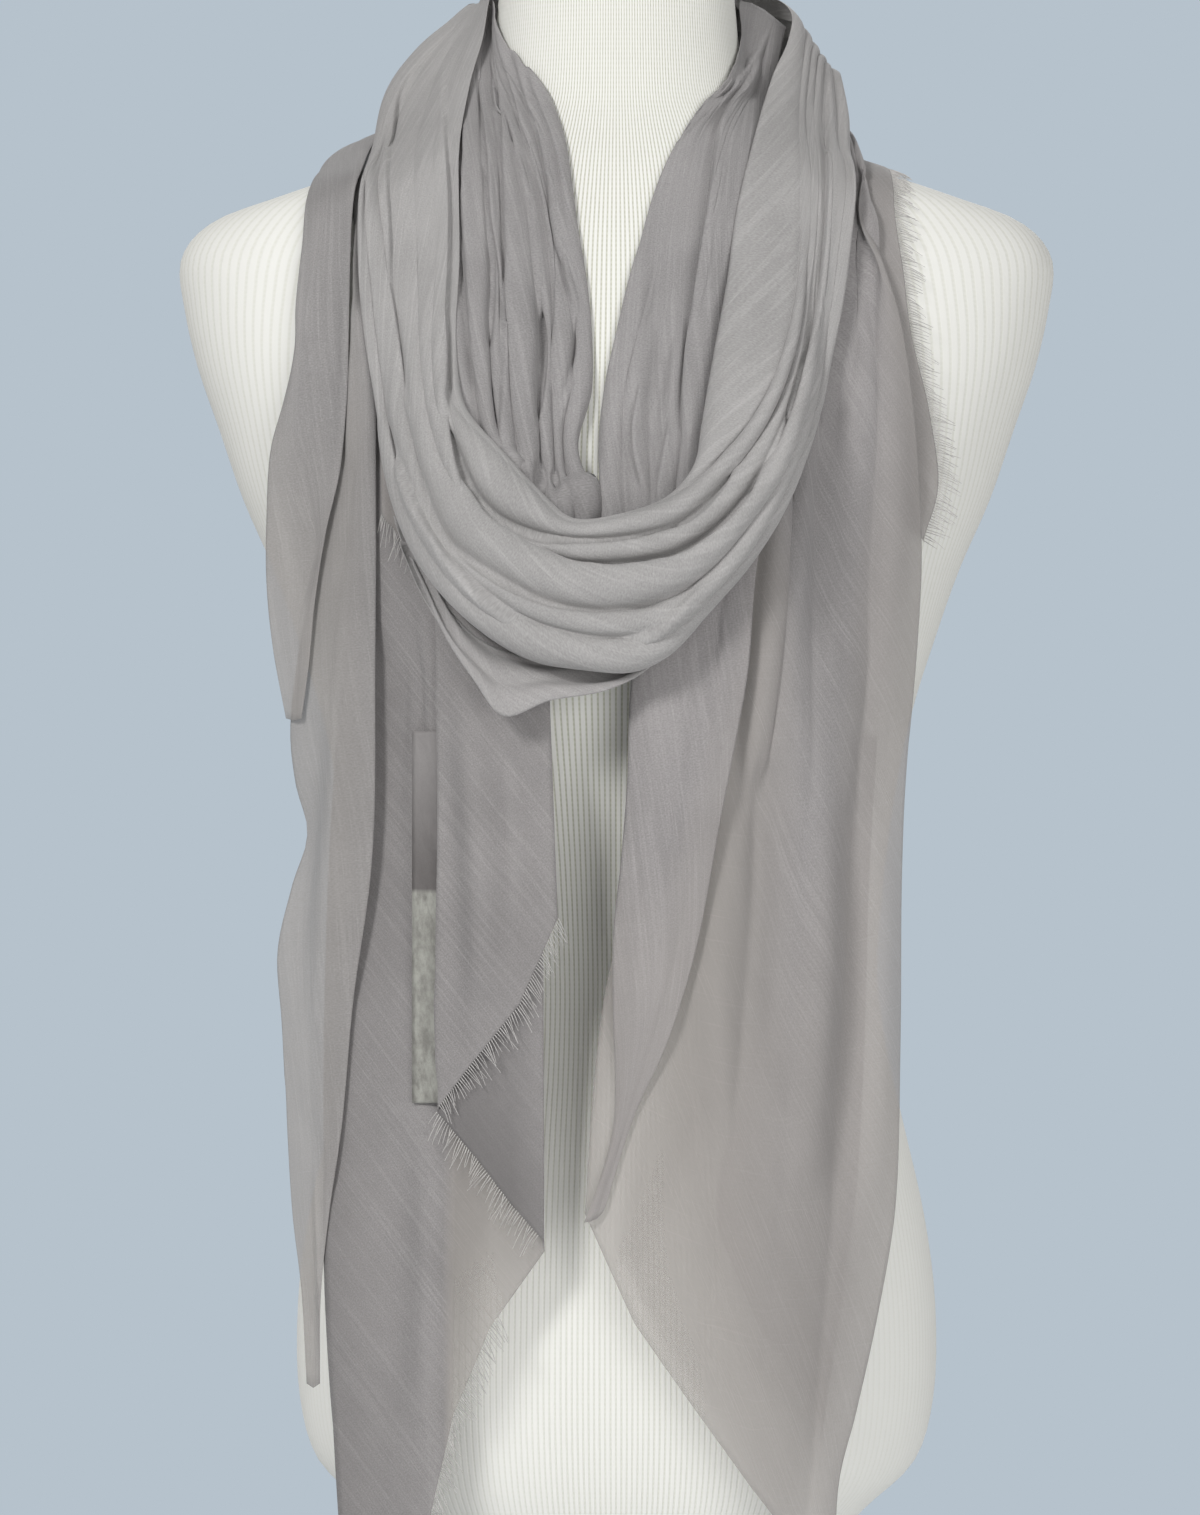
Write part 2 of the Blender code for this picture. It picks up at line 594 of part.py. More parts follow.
# Cowl: a loop round the neck. Each line has its front points, from the left shoulder down to
# the dip and up to the right shoulder, then true points behind the neck, right to left.
COWL = [
    # how far behind the cowl's depth, from the left shoulder past the dip to the right
    ((-8, 8, 13, 7, 0),
     [(-58.5, 949), (-61.5, 931), (-67, 912), (-72, 882), (-72, 833), (-73, 790), (-68, 757), (-51, 732),
      (-36, 714), (-20, 702), (5, 702), (24, 709), (36, 728), (39, 752), (45, 787), (51, 820),
      (55, 850), (63, 884), (72, 914), (79, 930)],
     [(80, 10, 946), (58, 46, 962), (0, 66, 974), (-51, 44, 968)]),
    ((-2, 4, 2, 2, 3),
     [(-60, 949), (-66, 933), (-72, 914), (-77, 882), (-77, 833), (-79, 790), (-75, 764), (-57, 743),
      (-38, 723), (-23, 709), (5, 712), (28, 721), (51, 741), (68, 764), (79, 795), (84, 830),
      (84, 862), (84, 896), (86, 926)],
     [(86, 12, 938), (62, 52, 951), (0, 73, 960), (-54, 47, 961)]),
    ((3, 3, 5, 2, 5),
     [(-61.5, 948), (-68, 934), (-75, 918), (-82, 885), (-82, 833), (-83, 790), (-77, 752), (-67, 722),
      (-52, 708), (-23, 699), (5, 700), (28, 706), (48, 725), (69, 754), (81, 785), (87, 825),
      (88, 860), (87, 898), (89, 924)],
     [(90, 13, 932), (66, 57, 941), (0, 78, 947), (-57, 50, 954)]),
    ((8, 4, 5, 3, 8),
     [(-62.5, 947), (-71, 935), (-80, 920), (-89, 890), (-90, 833), (-89, 790), (-81, 745), (-66, 717),
      (-48, 700), (-23, 689), (2, 688), (26, 692), (48, 706), (69, 732), (81, 764), (88, 800),
      (91, 856), (91, 899), (92, 922)],
     [(94, 15, 926), (71, 61, 930), (0, 82, 933), (-60, 53, 946)]),
    ((14, 5, 6, 4, 3, 3, 4, 7, 11),
     [(-63.5, 947), (-74, 936), (-86, 922), (-98, 901), (-105, 865), (-104, 830), (-98, 785), (-92, 745),
      (-78, 700), (-57, 685), (-26, 669), (0, 667), (22, 672), (44, 688), (63, 713), (79, 746),
      (89, 787), (94, 820), (96, 856), (95, 900), (95, 920)],
     [(97, 17, 920), (76, 64, 919), (0, 84, 919), (-62, 56, 938)]),
    ((20, 2, 6, 8, 9, 9, 8, 10, 15),
     [(-64.5, 947), (-76, 937), (-90, 924), (-103, 903), (-109, 870), (-109, 830), (-106, 770), (-98, 728),
      (-84, 698), (-62, 672), (-32, 657), (-8, 653), (15, 655), (33, 670), (53, 690),
      (71, 718), (87, 754), (96, 800), (100, 856), (100, 900), (98.5, 918)],
     [(100, 19, 914), (80, 66, 908), (0, 84, 905), (-65, 58, 930)]),
    ((27, 4, 9, 12, 13, 13, 12, 14, 19),
     [(-65.5, 947), (-78, 938), (-92, 926), (-106, 906), (-111, 872), (-111, 830), (-109, 775), (-104, 728),
      (-90, 690), (-64, 661), (-38, 645), (-11, 641), (8, 640), (24, 648), (40, 665),
      (63, 692), (81, 725), (94, 768), (101, 810), (104, 860), (104, 896), (102, 914)],
     [(103, 20, 908), (84, 67, 898), (0, 83, 893), (-67, 61, 922)]),
]
# Swelling of the cloth between two lines: left shoulder, left side, dip, right side, nape
COWL_BULGE = [
    (0, 0.5, 3, 4, 2, 0),
    (0, 0.5, 6, 1, 2, 0),
    (0, 1, 5, 1, 2, 0),
    (0, 2, 6, 1, 3, 0),
    (0, 2, 6, 1, 2, 0),
    (0, 1, 5, 1, 2, 0),
]
CORNER_FLAP = [
    (20, [(-100, 712), (-88, 690), (-72, 670), (-54, 656), (-26, 650), (5, 650), (18, 657),
         (29, 672)]),
    (16, [(-97, 700), (-82, 668), (-66, 645), (-52, 634), (-26, 638), (0, 640), (17, 650),
         (30, 670)]),
    (12, [(-95, 690), (-80, 657), (-66, 636), (-52, 619), (-31, 626), (-4, 631), (16, 642),
         (32, 668)]),
]
COWL_STRETCHES = (18, 18, 12)   # faces down the left, up the right and round the nape
LABEL = (-94.0, -78.0, 612.0, 441.0)     # left, right, top and foot


def main():
    clear_scene()
    white = material("form_cover", (0.80, 0.80, 0.76), 0.75)
    steel = material("stand_metal", (0.62, 0.62, 0.60), 0.4)
    grey = material("scarf_cloth", (0.33, 0.31, 0.315), 0.9)
    pale = material("label_cloth", (0.42, 0.42, 0.39), 0.8)

    _, form = dress_form(white)
    round_bar("stand_base", BASE_RADIUS, 0, BASE_HEIGHT, BASE_EDGE, 40, steel)
    round_bar("stand_pole", POLE_RADIUS, BASE_HEIGHT + SEAM, FORM_BOTTOM - SEAM, 0, 20, steel)

    layers = Layers(form)

    def tail(name, table, bulges, along, between, early=1.0):
        lines = [hung_line(form, front, lift, start) for start, front, lift in table]
        return sheet(name, lines, bulges, along, between, layers, grey, early)

    # Right tail, from the back layer forwards
    back = tail("right_tail_back", RIGHT_TAIL_BACK, [(0, 1), (0, 1)], 18, 2, 1.2)
    under = tail("right_tail_under", RIGHT_TAIL_UNDER, [(0, 2), (0, 2)], 13, 2)
    tail("right_tail_main", RIGHT_TAIL_MAIN,
         [(0, 2, 2, 1), (1, 3, 3, 1), (1, 3, 3, 1), (1, 3, 3, 1), (0, 2, 2, 1)], 26, 2, 1.3)
    tail("right_tail_inner", RIGHT_TAIL_INNER, [(1, 2, 0), (1, 1, 0), (1, 1, 0)], 20, 2)

    # Left tail
    lines = []
    for (top_x, top_z, foot_x, foot_z, lift), bow in zip(LEFT_PLEATS, LEFT_PLEATS_BOW):
        line = []
        for t in np.linspace(0, 1, 6):
            x = top_x + (foot_x - top_x) * t + bow * sin(pi * t) * 0.9
            z = top_z + (foot_z - top_z) * t
            line.append(sight(x, z, hang_depth(form, x, z) - lift))
        lines.append(line)
    pleats = sheet("left_tail_pleats", lines, [(0, 0)] * (len(lines) - 1), 16, 1, layers,
                      grey)
    tail("left_tail_front", LEFT_TAIL_FRONT, [(0, 2, 0), (0, 2, 0)], 26, 3, 1.3)
    tail("left_tail_outer", LEFT_TAIL_OUTER, [(0, 2, 0), (0, 1, 0)], 20, 3, 1.15)
    corner = tail("left_tail_corner", LEFT_CORNER, [(1, 1), (1, 1)], 8, 2)

    # Label, between the pleats of the left tail
    left, right, top, foot = LABEL
    lines = [[sight(x, z, hang_depth(form, x, z) - 6.6) for z in np.linspace(top, foot, 5)]
             for x in (left, right)]
    sheet("care_label", lines, [(0, 0)], 8, 2, layers, pale, over=False)

    # Pleats beside the neck
    def neck(name, table, bulges, along, between):
        lines = [[sight(x, z, depth_at(x, z) + b)
                  for (x, z), b in zip(points, even(behind, len(points)))]
                 for behind, points in table]
        return sheet(name, lines, bulges, along, between, layers, grey)

    neck_back = [[np.array(p, float) for p in line] for line in NECK_BACK]
    sheet("neck_back", neck_back, [(0, 3, 0)] * 3, 16, 2, layers, grey)
    neck("neck_left_pleats", LEFT_NECK, LEFT_NECK_BULGE, 18, 2)
    neck("neck_right_folds", RIGHT_NECK, RIGHT_NECK_BULGE, 16, 3)

    # The corner that hangs out below the cowl, then the cowl, a closed loop
    lines = [[sight(x, z, depth_at(x, z) + behind) for x, z in points]
             for behind, points in CORNER_FLAP]
    sheet("cowl_corner", lines, [(2, 2), (2, 2)], 14, 2, layers, grey, side=-1)
    lines = []
    for behind, front, nape in COWL:
        shown = [sight(x, z, depth_at(x, z) + b)
                 for (x, z), b in zip(front, even(behind, len(front)))]
        lines.append(loop_line(shown, [np.array(p, float) for p in nape]))
    bulges = [even(b, sum(COWL_STRETCHES) + 1) for b in COWL_BULGE]
    grid = loft(lines, bulges, 3, side=-1)
    layers.clear_of_form(grid, WALL / 2 + REST_GAP)
    layers.clear_of_cloth(grid, WALL + REST_GAP, NEIGHBOUR)
    layers.part(grid)
    grid[:, -1] = grid[:, 0]
    cloth("cowl_loop", grid, layers, grey, closed=True)

    # Fringe along the cut ends
    for name, edge, out, count, trim, seed in (
            ("fringe_left_first", pleats[:4, -1], (0.55, 0, -1), 20, 5, 1),
            ("fringe_left_second", pleats[4:8, -1], (-0.6, 0, -1), 16, 5, 2),
            ("fringe_left_third", pleats[9:, -1], (0.8, 0, -1), 36, 5, 3),
            ("fringe_left_corner", corner[1:, -1], (-0.2, 0, -1), 5, 3, 4),
            ("fringe_right_under", under[:, -1], (-0.5, 0, -1), 10, 5, 5),
            ("fringe_right_back", back[-1, 6:-2], (1, 0, 0), 26, 5, 6)):
        fringe(name, edge, out, count, trim, grey, seed)


main()
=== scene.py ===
"""Light frayed scarf wound once round the neck of a limbless dress form: its looks.

Tables are in millimetres, and a mesh is turned into metres when it is made. A fold line is given
as it shows from the front: x is the distance from the form's middle line and z the height, both
measured in the plane y = 0. The function sight() moves each point along the line of sight to its
own depth. Each sheet is worked out twice: on the part's own coarse grid, where the layers are
brought clear of each other, and on a finer grid that takes those moves over and gets its creases.
"""

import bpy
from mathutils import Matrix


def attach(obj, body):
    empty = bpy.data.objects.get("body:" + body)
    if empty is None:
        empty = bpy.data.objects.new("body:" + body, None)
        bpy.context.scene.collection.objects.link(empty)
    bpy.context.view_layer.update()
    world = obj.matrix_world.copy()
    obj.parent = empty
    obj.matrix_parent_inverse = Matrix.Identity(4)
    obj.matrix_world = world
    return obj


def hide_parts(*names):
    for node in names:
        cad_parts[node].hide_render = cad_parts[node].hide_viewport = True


bl_info = {
    "name": "Frayed scarf on a dress form",
    "version": (1, 0, 0),
    "blender": (4, 5, 0),
    "location": "View3D > Sidebar > Scarf",
    "description": "Makes the cloth, fringe, form and stage of a light frayed scarf",
    "category": "Object",
}

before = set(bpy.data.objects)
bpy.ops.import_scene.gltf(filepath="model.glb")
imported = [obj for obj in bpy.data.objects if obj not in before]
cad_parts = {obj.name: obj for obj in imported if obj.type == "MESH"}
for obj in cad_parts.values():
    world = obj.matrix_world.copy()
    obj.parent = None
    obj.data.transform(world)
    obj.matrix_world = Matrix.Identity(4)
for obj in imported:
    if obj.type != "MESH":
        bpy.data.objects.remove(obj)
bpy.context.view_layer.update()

from math import cos, pi, radians, sin

import bmesh
import bpy
import numpy as np
from mathutils import Vector
from mathutils.bvhtree import BVHTree

MM = 0.001

# Viewing point that the front outlines are measured from
EYE = np.array([-7.6, -2000.0, 600.0])

# Cloth
WALL = 1.0                 # thickness of a cloth wall
REST_GAP = 0.5             # gap first left between two layers that rest on each other
PART_GAP = 0.3             # least gap between two walls

FORM_BOTTOM = 219.0
# Dress form: a row for each section
# height, half width, depth in front, depth behind, drop of the ring at its sides
FORM_SECTIONS = [
    (995, 40, 38, 40, 0),
    (990, 49, 45, 47, 0),
    (970, 53, 48, 50, 0),
    (948, 55, 50, 52, 0),
    (921, 58, 51, 54, 0),
    (899, 64, 53, 57, 0),
    (886, 86, 58, 64, 3),
    (875, 120, 64, 75, 9),
    (864, 162, 70, 84, 11),
    (849, 189, 77, 91, 6),
    (827, 201, 86, 96, 0),
    (805, 199, 92, 99, 0),
    (779, 193, 98, 101, 0),
    (750, 183, 103, 100, 0),
    (718, 172, 107, 98, 0),
    (686, 158, 109, 95, 0),
    (655, 147, 109, 93, 0),
    (620, 136, 106, 90, 0),
    (580, 128, 99, 86, 0),
    (540, 123, 91, 82, 0),
    (500, 120.5, 86, 81, 0),
    (465, 125, 88, 88, 0),
    (430, 133, 94, 98, 0),
    (390, 142, 99, 107, 0),
    (350, 147, 101, 110, 0),
    (307, 146, 101, 108, 0),
    (280, 138, 98, 103, 0),
    (258, 115, 92, 97, 0),
    (236, 96, 86, 89, 0),
    (FORM_BOTTOM, 86, 78, 80, 0),
]
FORM_SIDES = 36
FORM_SQUARENESS = 2.3      # 2 is an ellipse
BUST_X = 64.0
BUST_Z = 655.0
BUST_SPREAD = 42.0
BUST_RISE = 15.0

# Depth of the cowl in front of the middle plane, by height
# height, depth
COWL_HANG = [
    (960, 4), (945, -4), (925, -22), (902, -42), (880, -62), (856, -80), (830, -97),
    (800, -113), (764, -130), (730, -143), (690, -152), (650, -158), (610, -161),
]
COWL_ROUND_FROM = 55.0     # beyond this distance from the middle the cowl turns back
COWL_ROUND = 0.0125        # how quickly it does, per millimetre
BULGE_SHARE = 0.3          # most that cloth swells, as a share of the width between two lines
FRONT_FROM = -22.0         # layers lie over each other towards the eye before this depth
MOST_MOVE = 30.0           # and are moved by no more than this
NEIGHBOUR = 3.0            # how far round a point the layers behind it are felt

LEFT_TAIL_OUTER = [
    # over the shoulder, then down the front: the outline, the leaf's edge, the inner edge
    ([(-62, 77, 886), (-100, 57, 886), (-132, 12, 877)],
     [(-138, 859), (-144, 836), (-147.5, 808), (-148, 787), (-153, 764), (-159, 742),
      (-161, 711), (-161, 680), (-158, 650), (-152, 618)], (5, 5, 3)),
    ([(-52, 81, 891), (-88, 61, 893), (-121, 10, 884)],
     [(-133, 850), (-141, 815), (-146, 777), (-146, 748), (-141, 718), (-138, 700),
      (-141, 682), (-146, 664), (-147, 640), (-148.5, 617)], (8, 7, 3.5)),
    ([(-42, 84, 895), (-76, 63, 898), (-107, 8, 889)],
     [(-119, 858), (-122, 830), (-123, 795), (-124, 764), (-127, 732), (-134, 702),
      (-139, 670), (-141, 648), (-143, 632), (-145, 618)], (3, 3, 3)),
]
LEFT_TAIL_FRONT = [
    # the outer edge, the crease inside it and the front edge
    ([(-48, 72, 884), (-84, 50, 886), (-112, 6, 880)],
     [(-121, 850), (-124, 800), (-127, 750), (-136, 700), (-146, 650), (-150, 612),
      (-148, 590), (-144, 566), (-150, 540), (-156, 510), (-154, 479), (-152, 440),
      (-149, 390), (-145, 356), (-142.5, 312)], (3, 3, 3)),
    ([(-42, 74, 886), (-76, 52, 888), (-104, 4, 884)],
     [(-116, 852), (-118, 800), (-119, 750), (-124, 700), (-129, 650), (-131, 600),
      (-132, 560), (-137, 520), (-141, 480), (-141, 440), (-141, 400), (-139.5, 360),
      (-139.5, 310)], (9, 9, 4)),
    ([(-36, 76, 889), (-68, 54, 891), (-97, 2, 886)],
     [(-111, 856), (-110, 818), (-110.6, 756), (-110.6, 694), (-111, 640), (-111.5, 571),
      (-114, 538), (-121, 489), (-126.5, 430), (-132, 392), (-136, 353), (-136.5, 312)], (5, 5, 3.5)),
]
# Pleats of the left tail behind its front panel, folded to and fro as one sheet:
# x and z at the top, x and z at the foot of each line, and how far it stands before the form
LEFT_PLEATS = [
    (-33, 690, -27, 526, 13.0),
    (-50, 690, -45, 486, 14.5),
    (-68, 690, -66, 460, 13.5),
    (-82, 690, -81.5, 440, 11.5),
    (-83, 690, -82.5, 437, 9.0),
    (-66, 690, -64, 415, 8.5),
    (-48, 690, -48, 394, 8.0),
    (-35, 690, -34, 378, 7.0),
    (-34, 690, -33, 373, 4.5),
    (-50, 690, -58, 338, 4.5),
    (-66, 690, -75, 298, 3.5),
    (-84, 730, -86, 250, 4.5),
    (-98, 780, -104, 205, 2.5),
    (-113, 790, -122, 166, 3.5),
]
LEFT_PLEATS_BOW = [0, 0, 0, 0, 0, 0, 0, 0, 0, 0, -2, -6, -12, -19]   # bow of each line outwards

LEFT_CORNER = [
    ([], [(-108, 800), (-108.5, 760), (-108, 712)], 5),
    ([], [(-102, 800), (-103, 755), (-103, 706)], 8),
    ([], [(-90, 800), (-92, 750), (-94, 694)], 6),
]

RIGHT_TAIL_MAIN = [
    ([(30, 80, 897), (58, 58, 906), (76, 8, 904)],
     [(80, 862), (72, 815), (60, 765), (48, 705), (36, 640), (20, 580), (4, 530), (-5, 493),
      (-9.4, 460), (-12, 430), (-14.5, 390)], 5),
    ([(35, 79, 896), (65, 57, 904), (84, 8, 901)],
     [(89, 858), (83, 808), (73, 760), (64, 700), (55, 640), (44, 560), (32, 480), (22, 420),
      (8, 340)], (5, 8, 8, 7)),
    ([(40, 78, 895), (72, 56, 901), (91, 8, 897)],
     [(97, 854), (93, 800), (84, 750), (78, 700), (73, 640), (67, 580), (60, 500), (52, 420),
      (36, 300)], (5, 4, 4, 5)),
    ([(45, 76, 892), (80, 54, 897), (97, 8, 894)],
     [(105, 851), (104, 800), (98, 740), (93, 690), (90, 640), (88, 580), (82, 500),
      (76, 400), (62, 264)], (5, 9, 9, 6)),
    ([(50, 74, 889), (88, 52, 893), (103, 4, 890)],
     [(113, 850), (118, 800), (118, 740), (116, 690), (114, 640), (110, 580), (107, 500),
      (100, 400), (86, 232)], 5),
    ([(56, 71, 886), (96, 50, 889), (108, 2, 887)],
     [(118, 845), (129, 808), (134.5, 773), (138, 728), (139.6, 690), (137, 640), (133, 590),
      (130.4, 534), (129.8, 470), (128, 392), (120, 343), (110, 298), (102, 265), (101, 204)],
     8),
]
RIGHT_TAIL_INNER = [
    ([], [(24, 745), (16, 700), (9, 655), (6, 625), (5, 590), (2, 552), (-1.6, 518),
          (-1.6, 484), (-1, 433), (-8, 404), (-15, 386)], (13, 13, 10)),
    ([], [(44, 748), (38, 700), (30, 640), (26, 590), (21, 535), (13, 480), (7, 455), (1.3, 430),
          (-6.5, 404), (-12, 386.5)], (15, 15, 10.5)),
    ([], [(56, 750), (52, 700), (46, 650), (42, 600), (35, 550), (26, 505), (12, 455),
          (4, 430), (-4, 404), (-9, 388)], (14, 14, 10)),
    ([], [(70, 752), (68, 710), (64, 684), (60.5, 640), (54.5, 606), (47, 567), (36.6, 512),
          (23, 468), (8, 435), (-6, 391)], (15, 14.5, 10.5)),
]
RIGHT_TAIL_UNDER = [
    ([], [(70, 610), (66, 560), (70, 500), (56, 440), (46, 390), (68, 334)], (3.6, 2.5, 1.5)),
    ([], [(94, 610), (92, 540), (92, 470), (84, 400), (84, 312)], (6, 4, 3)),
    ([], [(120, 610), (116, 540), (114, 470), (110, 400), (95, 292)], (5, 3, 1.5)),
]
RIGHT_TAIL_BACK = [
    ([(52, 68, 876), (86, 46, 878), (102, 6, 877)],
     [(110, 850), (117, 815), (121, 780), (125, 745), (129, 712)], 1),
    ([(58, 64, 872), (96, 42, 875), (110, 4, 876)],
     [(119, 851), (125, 815), (131, 780), (136, 745), (136, 705)], 3),
    ([(64, 60, 869), (102, 38, 872), (117, 2, 871)],
     [(126, 849), (131, 822), (135, 790), (143, 760), (148, 725), (141, 700)], 1),
]

# Pleats that go up beside the neck, at the left from the cowl to the bunch at the nape
LEFT_NECK = [
    # how far behind the cowl's depth, then the points of the line
    ((8, 14, 14, 24),
     [(-58.5, 946), (-72, 925), (-82, 890), (-84, 850), (-84, 800), (-80, 760), (-72, 735)]),
    ((5.5, 8, 8, 22),
     [(-58.5, 946), (-66, 930), (-67, 912), (-70, 881), (-71, 850), (-69, 827), (-67, 800),
      (-65, 765), (-58, 732)]),
    ((3, 11, 12, 24),
     [(-58, 946), (-63, 909), (-60, 881), (-58, 854), (-57, 820), (-58, 780), (-51, 720)]),
    ((0.5, 9, 10, 24),
     [(-57.5, 946), (-57, 925), (-53, 900), (-51, 860), (-51, 830), (-50, 790), (-48, 758),
      (-42, 715)]),
    ((-2, 14, 17, 26),
     [(-57, 946), (-54, 920), (-48, 881), (-40, 855), (-36, 830), (-33, 795), (-36, 760),
      (-34, 708)]),
    ((-4.5, 12, 14, 26),
     [(-56.5, 947), (-51, 918), (-43, 890), (-36, 865), (-30, 840), (-28, 807), (-30, 770),
      (-27, 705)]),
    ((-7, 12, 20, 28),
     [(-56, 947), (-48, 925), (-38, 895), (-31, 865), (-26, 835), (-18, 804), (-20, 776),
      (-25, 748), (-19, 704)]),
    ((-9.5, 12, 28, 30),
     [(-55.5, 948), (-46, 935), (-33, 911), (-25, 884), (-20, 850), (-14, 816), (-12, 790),
      (-12, 768), (-18, 744), (-15, 732), (-9.5, 722), (-8, 704)]),
]
LEFT_NECK_BULGE = [(0, 1, 4, 4, 5), (0, 1, 3, 4, 4), (0, 0.5, 3, 4, 4), (0, 1, 4, 4, 4),
                   (0, 1, 4, 4, 4), (0, 1.5, 3, 3, 3), (0, 2, 5, 5, 4)]
RIGHT_NECK = [
    ((4, 28, 30),
     [(55, 948), (44, 924), (36, 897), (26, 873), (16, 848), (7, 818), (0, 790), (-5, 768),
      (-8, 745), (-7, 704)]),
    ((8, 20, 26),
     [(62, 947), (54, 920), (45, 897), (35, 873), (25, 845), (16, 815), (8, 785), (4, 765),
      (3, 745), (5, 706)]),
    ((12, 15, 24),
     [(68, 944), (60, 918), (50, 897), (41, 870), (34, 840), (27, 810), (21, 780), (16, 750),
      (16, 708)]),
    ((16, 20, 22),
     [(73, 940), (64, 915), (54, 893), (47, 865), (42, 840), (37, 805), (33, 775), (30, 745),
      (26, 711)]),
    ((20, 15, 18),
     [(78, 936), (72, 912), (64, 890), (58, 862), (54, 835), (50, 805), (45, 775), (40, 750),
      (34, 716)]),
]
# Inner turn behind the neck, as true points from left to right
NECK_BACK = [
    [(-52, 20, 960), (-46, 31, 966), (0, 51, 970), (46, 31, 964), (54, 12, 952)],
    [(-54, 22, 952), (-48, 40, 955), (0, 58, 957), (50, 41, 953), (62, 14, 944)],
    [(-55, 22, 943), (-49, 42, 943), (0, 60, 943), (53, 44, 941), (67, 14, 936)],
    [(-56, 22, 934), (-50, 44, 931), (0, 62, 929), (56, 46, 929), (72, 14, 928)],
]
RIGHT_NECK_BULGE = [(0, 6, 4), (0, 4, 3), (0, 4, 3), (0, 4, 3)]

# Cowl: a loop round the neck. Each line has its front points, from the left shoulder down to
# the dip and up to the right shoulder, then true points behind the neck, right to left.
COWL = [
    # how far behind the cowl's depth, from the left shoulder past the dip to the right
    ((-8, 8, 13, 7, 0),
     [(-58.5, 949), (-61.5, 931), (-67, 912), (-72, 882), (-72, 833), (-73, 790), (-68, 757),
      (-51, 732), (-36, 714), (-20, 702), (5, 702), (24, 709), (36, 728), (39, 752), (45, 787),
      (51, 820), (55, 850), (63, 884), (72, 914), (79, 930)],
     [(80, 10, 946), (58, 46, 962), (0, 66, 974), (-51, 44, 968)]),
    ((-2, 4, 2, 2, 3),
     [(-60, 949), (-66, 933), (-72, 914), (-77, 882), (-77, 833), (-79, 790), (-75, 764),
      (-57, 743), (-38, 723), (-23, 709), (5, 712), (28, 721), (51, 741), (68, 764), (79, 795),
      (84, 830), (84, 862), (84, 896), (86, 926)],
     [(86, 12, 938), (62, 52, 951), (0, 73, 960), (-54, 47, 961)]),
    ((3, 3, 5, 2, 5),
     [(-61.5, 948), (-68, 934), (-75, 918), (-82, 885), (-82, 833), (-83, 790), (-77, 752),
      (-67, 722), (-52, 708), (-23, 699), (5, 700), (28, 706), (48, 725), (69, 754), (81, 785),
      (87, 825), (88, 860), (87, 898), (89, 924)],
     [(90, 13, 932), (66, 57, 941), (0, 78, 947), (-57, 50, 954)]),
    ((8, 4, 5, 3, 8),
     [(-62.5, 947), (-71, 935), (-80, 920), (-89, 890), (-90, 833), (-89, 790), (-81, 745),
      (-66, 717), (-48, 700), (-23, 689), (2, 688), (26, 692), (48, 706), (69, 732), (81, 764),
      (88, 800), (91, 856), (91, 899), (92, 922)],
     [(94, 15, 926), (71, 61, 930), (0, 82, 933), (-60, 53, 946)]),
    ((14, 5, 6, 4, 3, 3, 4, 7, 11),
     [(-63.5, 947), (-74, 936), (-86, 922), (-98, 901), (-105, 865), (-104, 830), (-98, 785),
      (-92, 745), (-78, 700), (-57, 685), (-26, 669), (0, 667), (22, 672), (44, 688), (63, 713),
      (79, 746), (89, 787), (94, 820), (96, 856), (95, 900), (95, 920)],
     [(97, 17, 920), (76, 64, 919), (0, 84, 919), (-62, 56, 938)]),
    ((20, 2, 6, 8, 9, 9, 8, 10, 15),
     [(-64.5, 947), (-76, 937), (-90, 924), (-103, 903), (-109, 870), (-109, 830), (-106, 770),
      (-98, 728), (-84, 698), (-62, 672), (-32, 657), (-8, 653), (15, 655), (33, 670), (53, 690),
      (71, 718), (87, 754), (96, 800), (100, 856), (100, 900), (98.5, 918)],
     [(100, 19, 914), (80, 66, 908), (0, 84, 905), (-65, 58, 930)]),
    ((27, 4, 9, 12, 13, 13, 12, 14, 19),
     [(-65.5, 947), (-78, 938), (-92, 926), (-106, 906), (-111, 872), (-111, 830), (-109, 775),
      (-104, 728), (-90, 690), (-64, 661), (-38, 645), (-11, 641), (8, 640), (24, 648),
      (40, 665), (63, 692), (81, 725), (94, 768), (101, 810), (104, 860), (104, 896), (102, 914)],
     [(103, 20, 908), (84, 67, 898), (0, 83, 893), (-67, 61, 922)]),
]
# Swelling of the cloth between two lines: values spread evenly round the loop, from the left
# shoulder by the dip and the right shoulder back to it
COWL_BULGE = [
    (0, 0.5, 3, 4, 2, 0),
    (0, 0.5, 6, 1, 2, 0),
    (0, 1, 5, 1, 2, 0),
    (0, 2, 6, 1, 3, 0),
    (0, 2, 6, 1, 2, 0),
    (0, 1, 5, 1, 2, 0),
]
CORNER_FLAP = [
    (20, [(-100, 712), (-88, 690), (-72, 670), (-54, 656), (-26, 650), (5, 650), (18, 657),
         (29, 672)]),
    (16, [(-97, 700), (-82, 668), (-66, 645), (-52, 634), (-26, 638), (0, 640), (17, 650),
         (30, 670)]),
    (12, [(-95, 690), (-80, 657), (-66, 636), (-52, 619), (-31, 626), (-4, 631), (16, 642),
         (32, 668)]),
]
COWL_STRETCHES = (18, 18, 12)   # faces down the left, up the right and round the nape
COWL_BETWEEN = 3                # faces between two of its lines
LABEL = (-94.0, -78.0, 612.0, 441.0)     # left, right, top and foot

